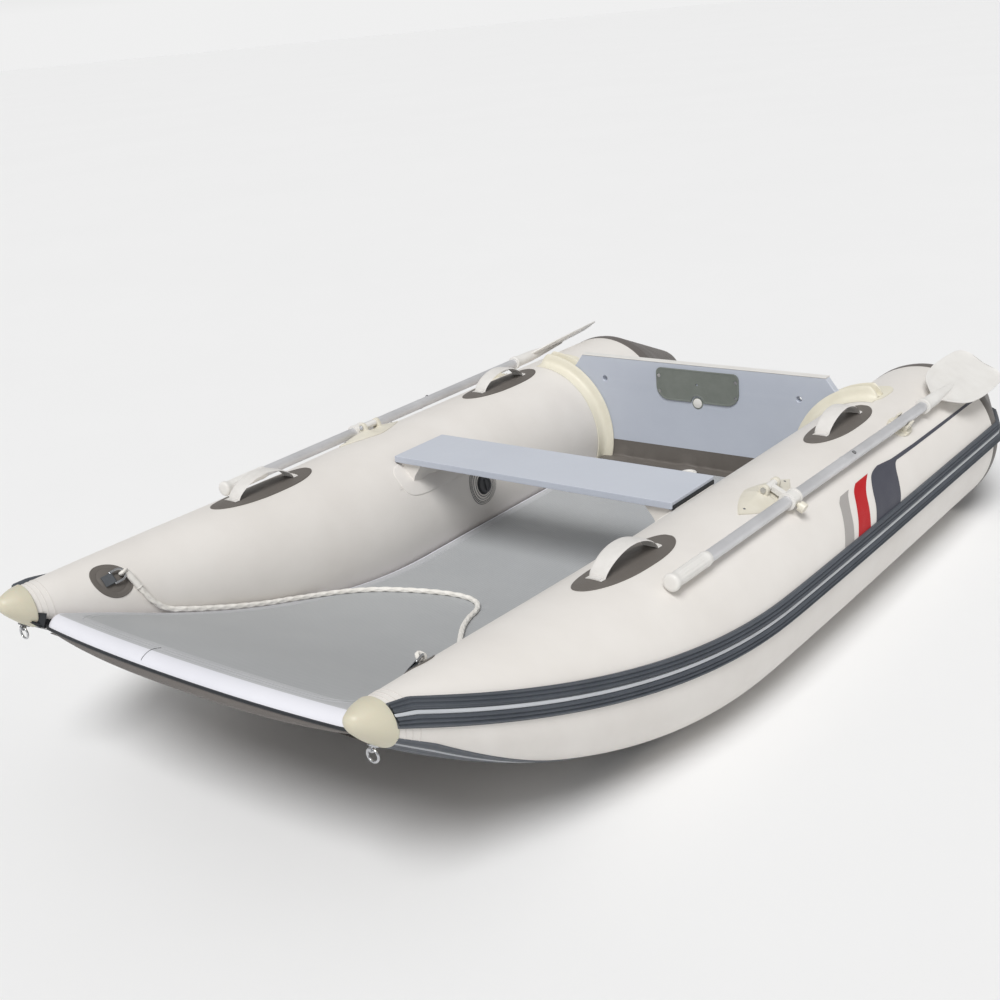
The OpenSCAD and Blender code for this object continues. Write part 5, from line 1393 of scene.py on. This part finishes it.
def make_blade(name, side):
    """Spoon blade with rolled edges, a hollow spine that runs out, and a ringed socket."""
    m = oar_matrix(side, BLADE_Y, BLADE_TILT)
    # flat of the blade: the socket frame has X across, Y down from the face, Z along
    rows = np.array([[0.16, 4], [0.19, 10], [0.22, 22], [0.27, 42], [0.33, 62], [0.42, 76], [0.55, 83],
                     [0.74, 84], [0.90, 80], [0.955, 72], [0.985, 59], [0.996, 48], [1.0, 40]])
    u = np.concatenate([np.linspace(0.16, 0.90, 56), 0.90 + 0.10 * np.sin(np.linspace(0.08, math.pi / 2, 16))])
    half = np.interp(u, rows[:, 0], rows[:, 1] * BLADE_W / 0.168 * 0.001)
    smooth = np.convolve(np.pad(half, 2, "edge"), np.ones(5) / 5, "valid")
    half = np.where(u < 0.93, smooth, half)
    v = np.sin(np.linspace(-math.pi / 2, math.pi / 2, 41))
    rings = []
    for uu, h in zip(u, half):
        rise = 0.010 * uu ** 2 + 0.005 * v ** 2
        roll = rounded_edge(np.minimum((1 - np.abs(v)) * h, (1 - uu) * BLADE_L) + 0.0006, 0.0032)
        spine = 0.0135 * (1 - ((uu - 0.16) / 0.52) ** 1.3) if uu < 0.68 else 0.0
        ridge = max(spine, 0) * np.exp(-(v * h / (0.0095 * (1.15 - 0.7 * uu))) ** 2)
        groove = 0.0008 * np.exp(-((np.abs(v) - 0.72) / 0.05) ** 2) * (uu < 0.93) * (uu > 0.3)
        thick = BLADE_T / 2 * roll
        # offsets along the face normal, which is the oar frame's Z, so minus Y here
        top, low = rise + thick + ridge * 0.75 - groove, rise - thick - ridge * 0.55
        z = np.full(len(v), uu * BLADE_L)
        rings.append(np.concatenate([np.stack([v * h, -top, z], 1), np.stack([v * h, -low, z], 1)[::-1]]))
    parts = [(*lofted(moved(rings, m)), 0)]
    prof = [(SHAFT_R + 0.0001, 0.0), (SHAFT_R + 0.0056, 0.0), (SHAFT_R + 0.0066, 0.0012),
            (SHAFT_R + 0.0066, 0.0112), (SHAFT_R + 0.0056, 0.0124), (SHAFT_R + 0.0042, 0.0130),
            (SHAFT_R + 0.0038, 0.0300), (SHAFT_R + 0.0034, SOCKET_L)]
    prof += [(SHAFT_R + 0.0034 - (SHAFT_R + 0.0004) * q ** 1.15, SOCKET_L + (SPINE_L - SOCKET_L) * q)
             for q in np.linspace(0.05, 1, 24)]
    parts.append((*lofted(moved(turned(prof, 64), m)), 0))
    joined(name + "_blade", parts, [PLASTIC], name + "_oar", [name + "_oar_blade"], crease=50)


# ---------------------------------------------------------------- valves
VALVE_Y, VALVE_A, VALVE_R = 0.041, 169.0, 0.050


def make_valve_rings(name, side):
    """Thin raised rings round the tube's valve."""
    wrap = round_on_tube(side, VALVE_Y, VALVE_A)
    profile = [(VALVE_R + 0.009, 0.0004)]
    for r, h in ((VALVE_R + 0.0085, 0.0010), (VALVE_R + 0.004, 0.0012), (VALVE_R, 0.0016), (VALVE_R - 0.0065, 0.0022),
                 (VALVE_R - 0.0145, 0.0036)):
        profile += [(r, h), (r - 0.0004, h + 0.0007), (r - 0.0018, h + 0.0007), (r - 0.0022, h)]
    profile.append((0.0290, 0.0040))
    verts, faces, uv = polar_part(wrap, profile, 96)
    wide = 96
    which = [0 if (q // wide) % 4 in (1, 2) else 1 for q in range(len(faces))]
    piece(name + "_valve_rings", verts, faces, [VALVE, PVC_SEAM], "hull", face_mat=which, uv=uv)


# ---------------------------------------------------------------- CAD pieces that are shown
def dress(names, material, bevel, segments=2, flat=False):
    for n in names:
        obj = nodes[n]
        stored = obj.data.attributes.get("custom_normal")
        if stored:
            obj.data.attributes.remove(stored)
        obj.data.materials.clear()
        obj.data.materials.append(material)
        for f in obj.data.polygons:
            f.material_index = 0
            f.use_smooth = not flat
        weld = obj.modifiers.new("weld", "WELD")
        weld.merge_threshold = 0.00002
        mod = obj.modifiers.new("bevel", "BEVEL")
        mod.width, mod.segments, mod.limit_method = bevel, segments, "ANGLE"
        mod.angle_limit = math.radians(32)
        mod.harden_normals = not flat


def both(*words):
    return [f"{s}_{w}" for w in words for s in SIDES]


dress(["seat_board"], BOARD, 0.0028, 4, flat=True)
dress(["transom_edge_trim"], PLASTIC, 0.0009, flat=True)
dress(["motor_plate_bolts", "oarlock_pins", "bow_rings", "tow_eyes"] + both("tow_ring", "oar_button"), STEEL, 0.0004)
dress(both("oar_swivel"), PLASTIC, 0.0009, 3)
dress(both("swivel_knob"), IVORY_PLASTIC, 0.0012, 3)
dress(["oar_holders"], IVORY_PLASTIC, 0.0009, 3)
dress(["seat_end_clips"], BLACK, 0.0006)
dress(["tube_valves", "deck_valve"] + both("valve_cap", "valve_stem") + ["deck_valve_stem"], VALVE, 0.0005)
dress(["deck_valve_cap"], PLASTIC, 0.0005)

for side_name, side_sign in SIDES.items():
    make_transom_holder(side_name, side_sign)
    make_bench_carrier(side_name, side_sign)
    make_bench_edge(side_name, side_sign)
    make_handles(side_name, side_sign)
    make_ring_patch(side_name, side_sign)
    make_oarlock(side_name, side_sign)
    make_grip(side_name, side_sign)
    make_shaft(side_name, side_sign)
    make_blade(side_name, side_sign)
    make_valve_rings(side_name, side_sign)
make_flap()
make_transom_board()
make_plates()
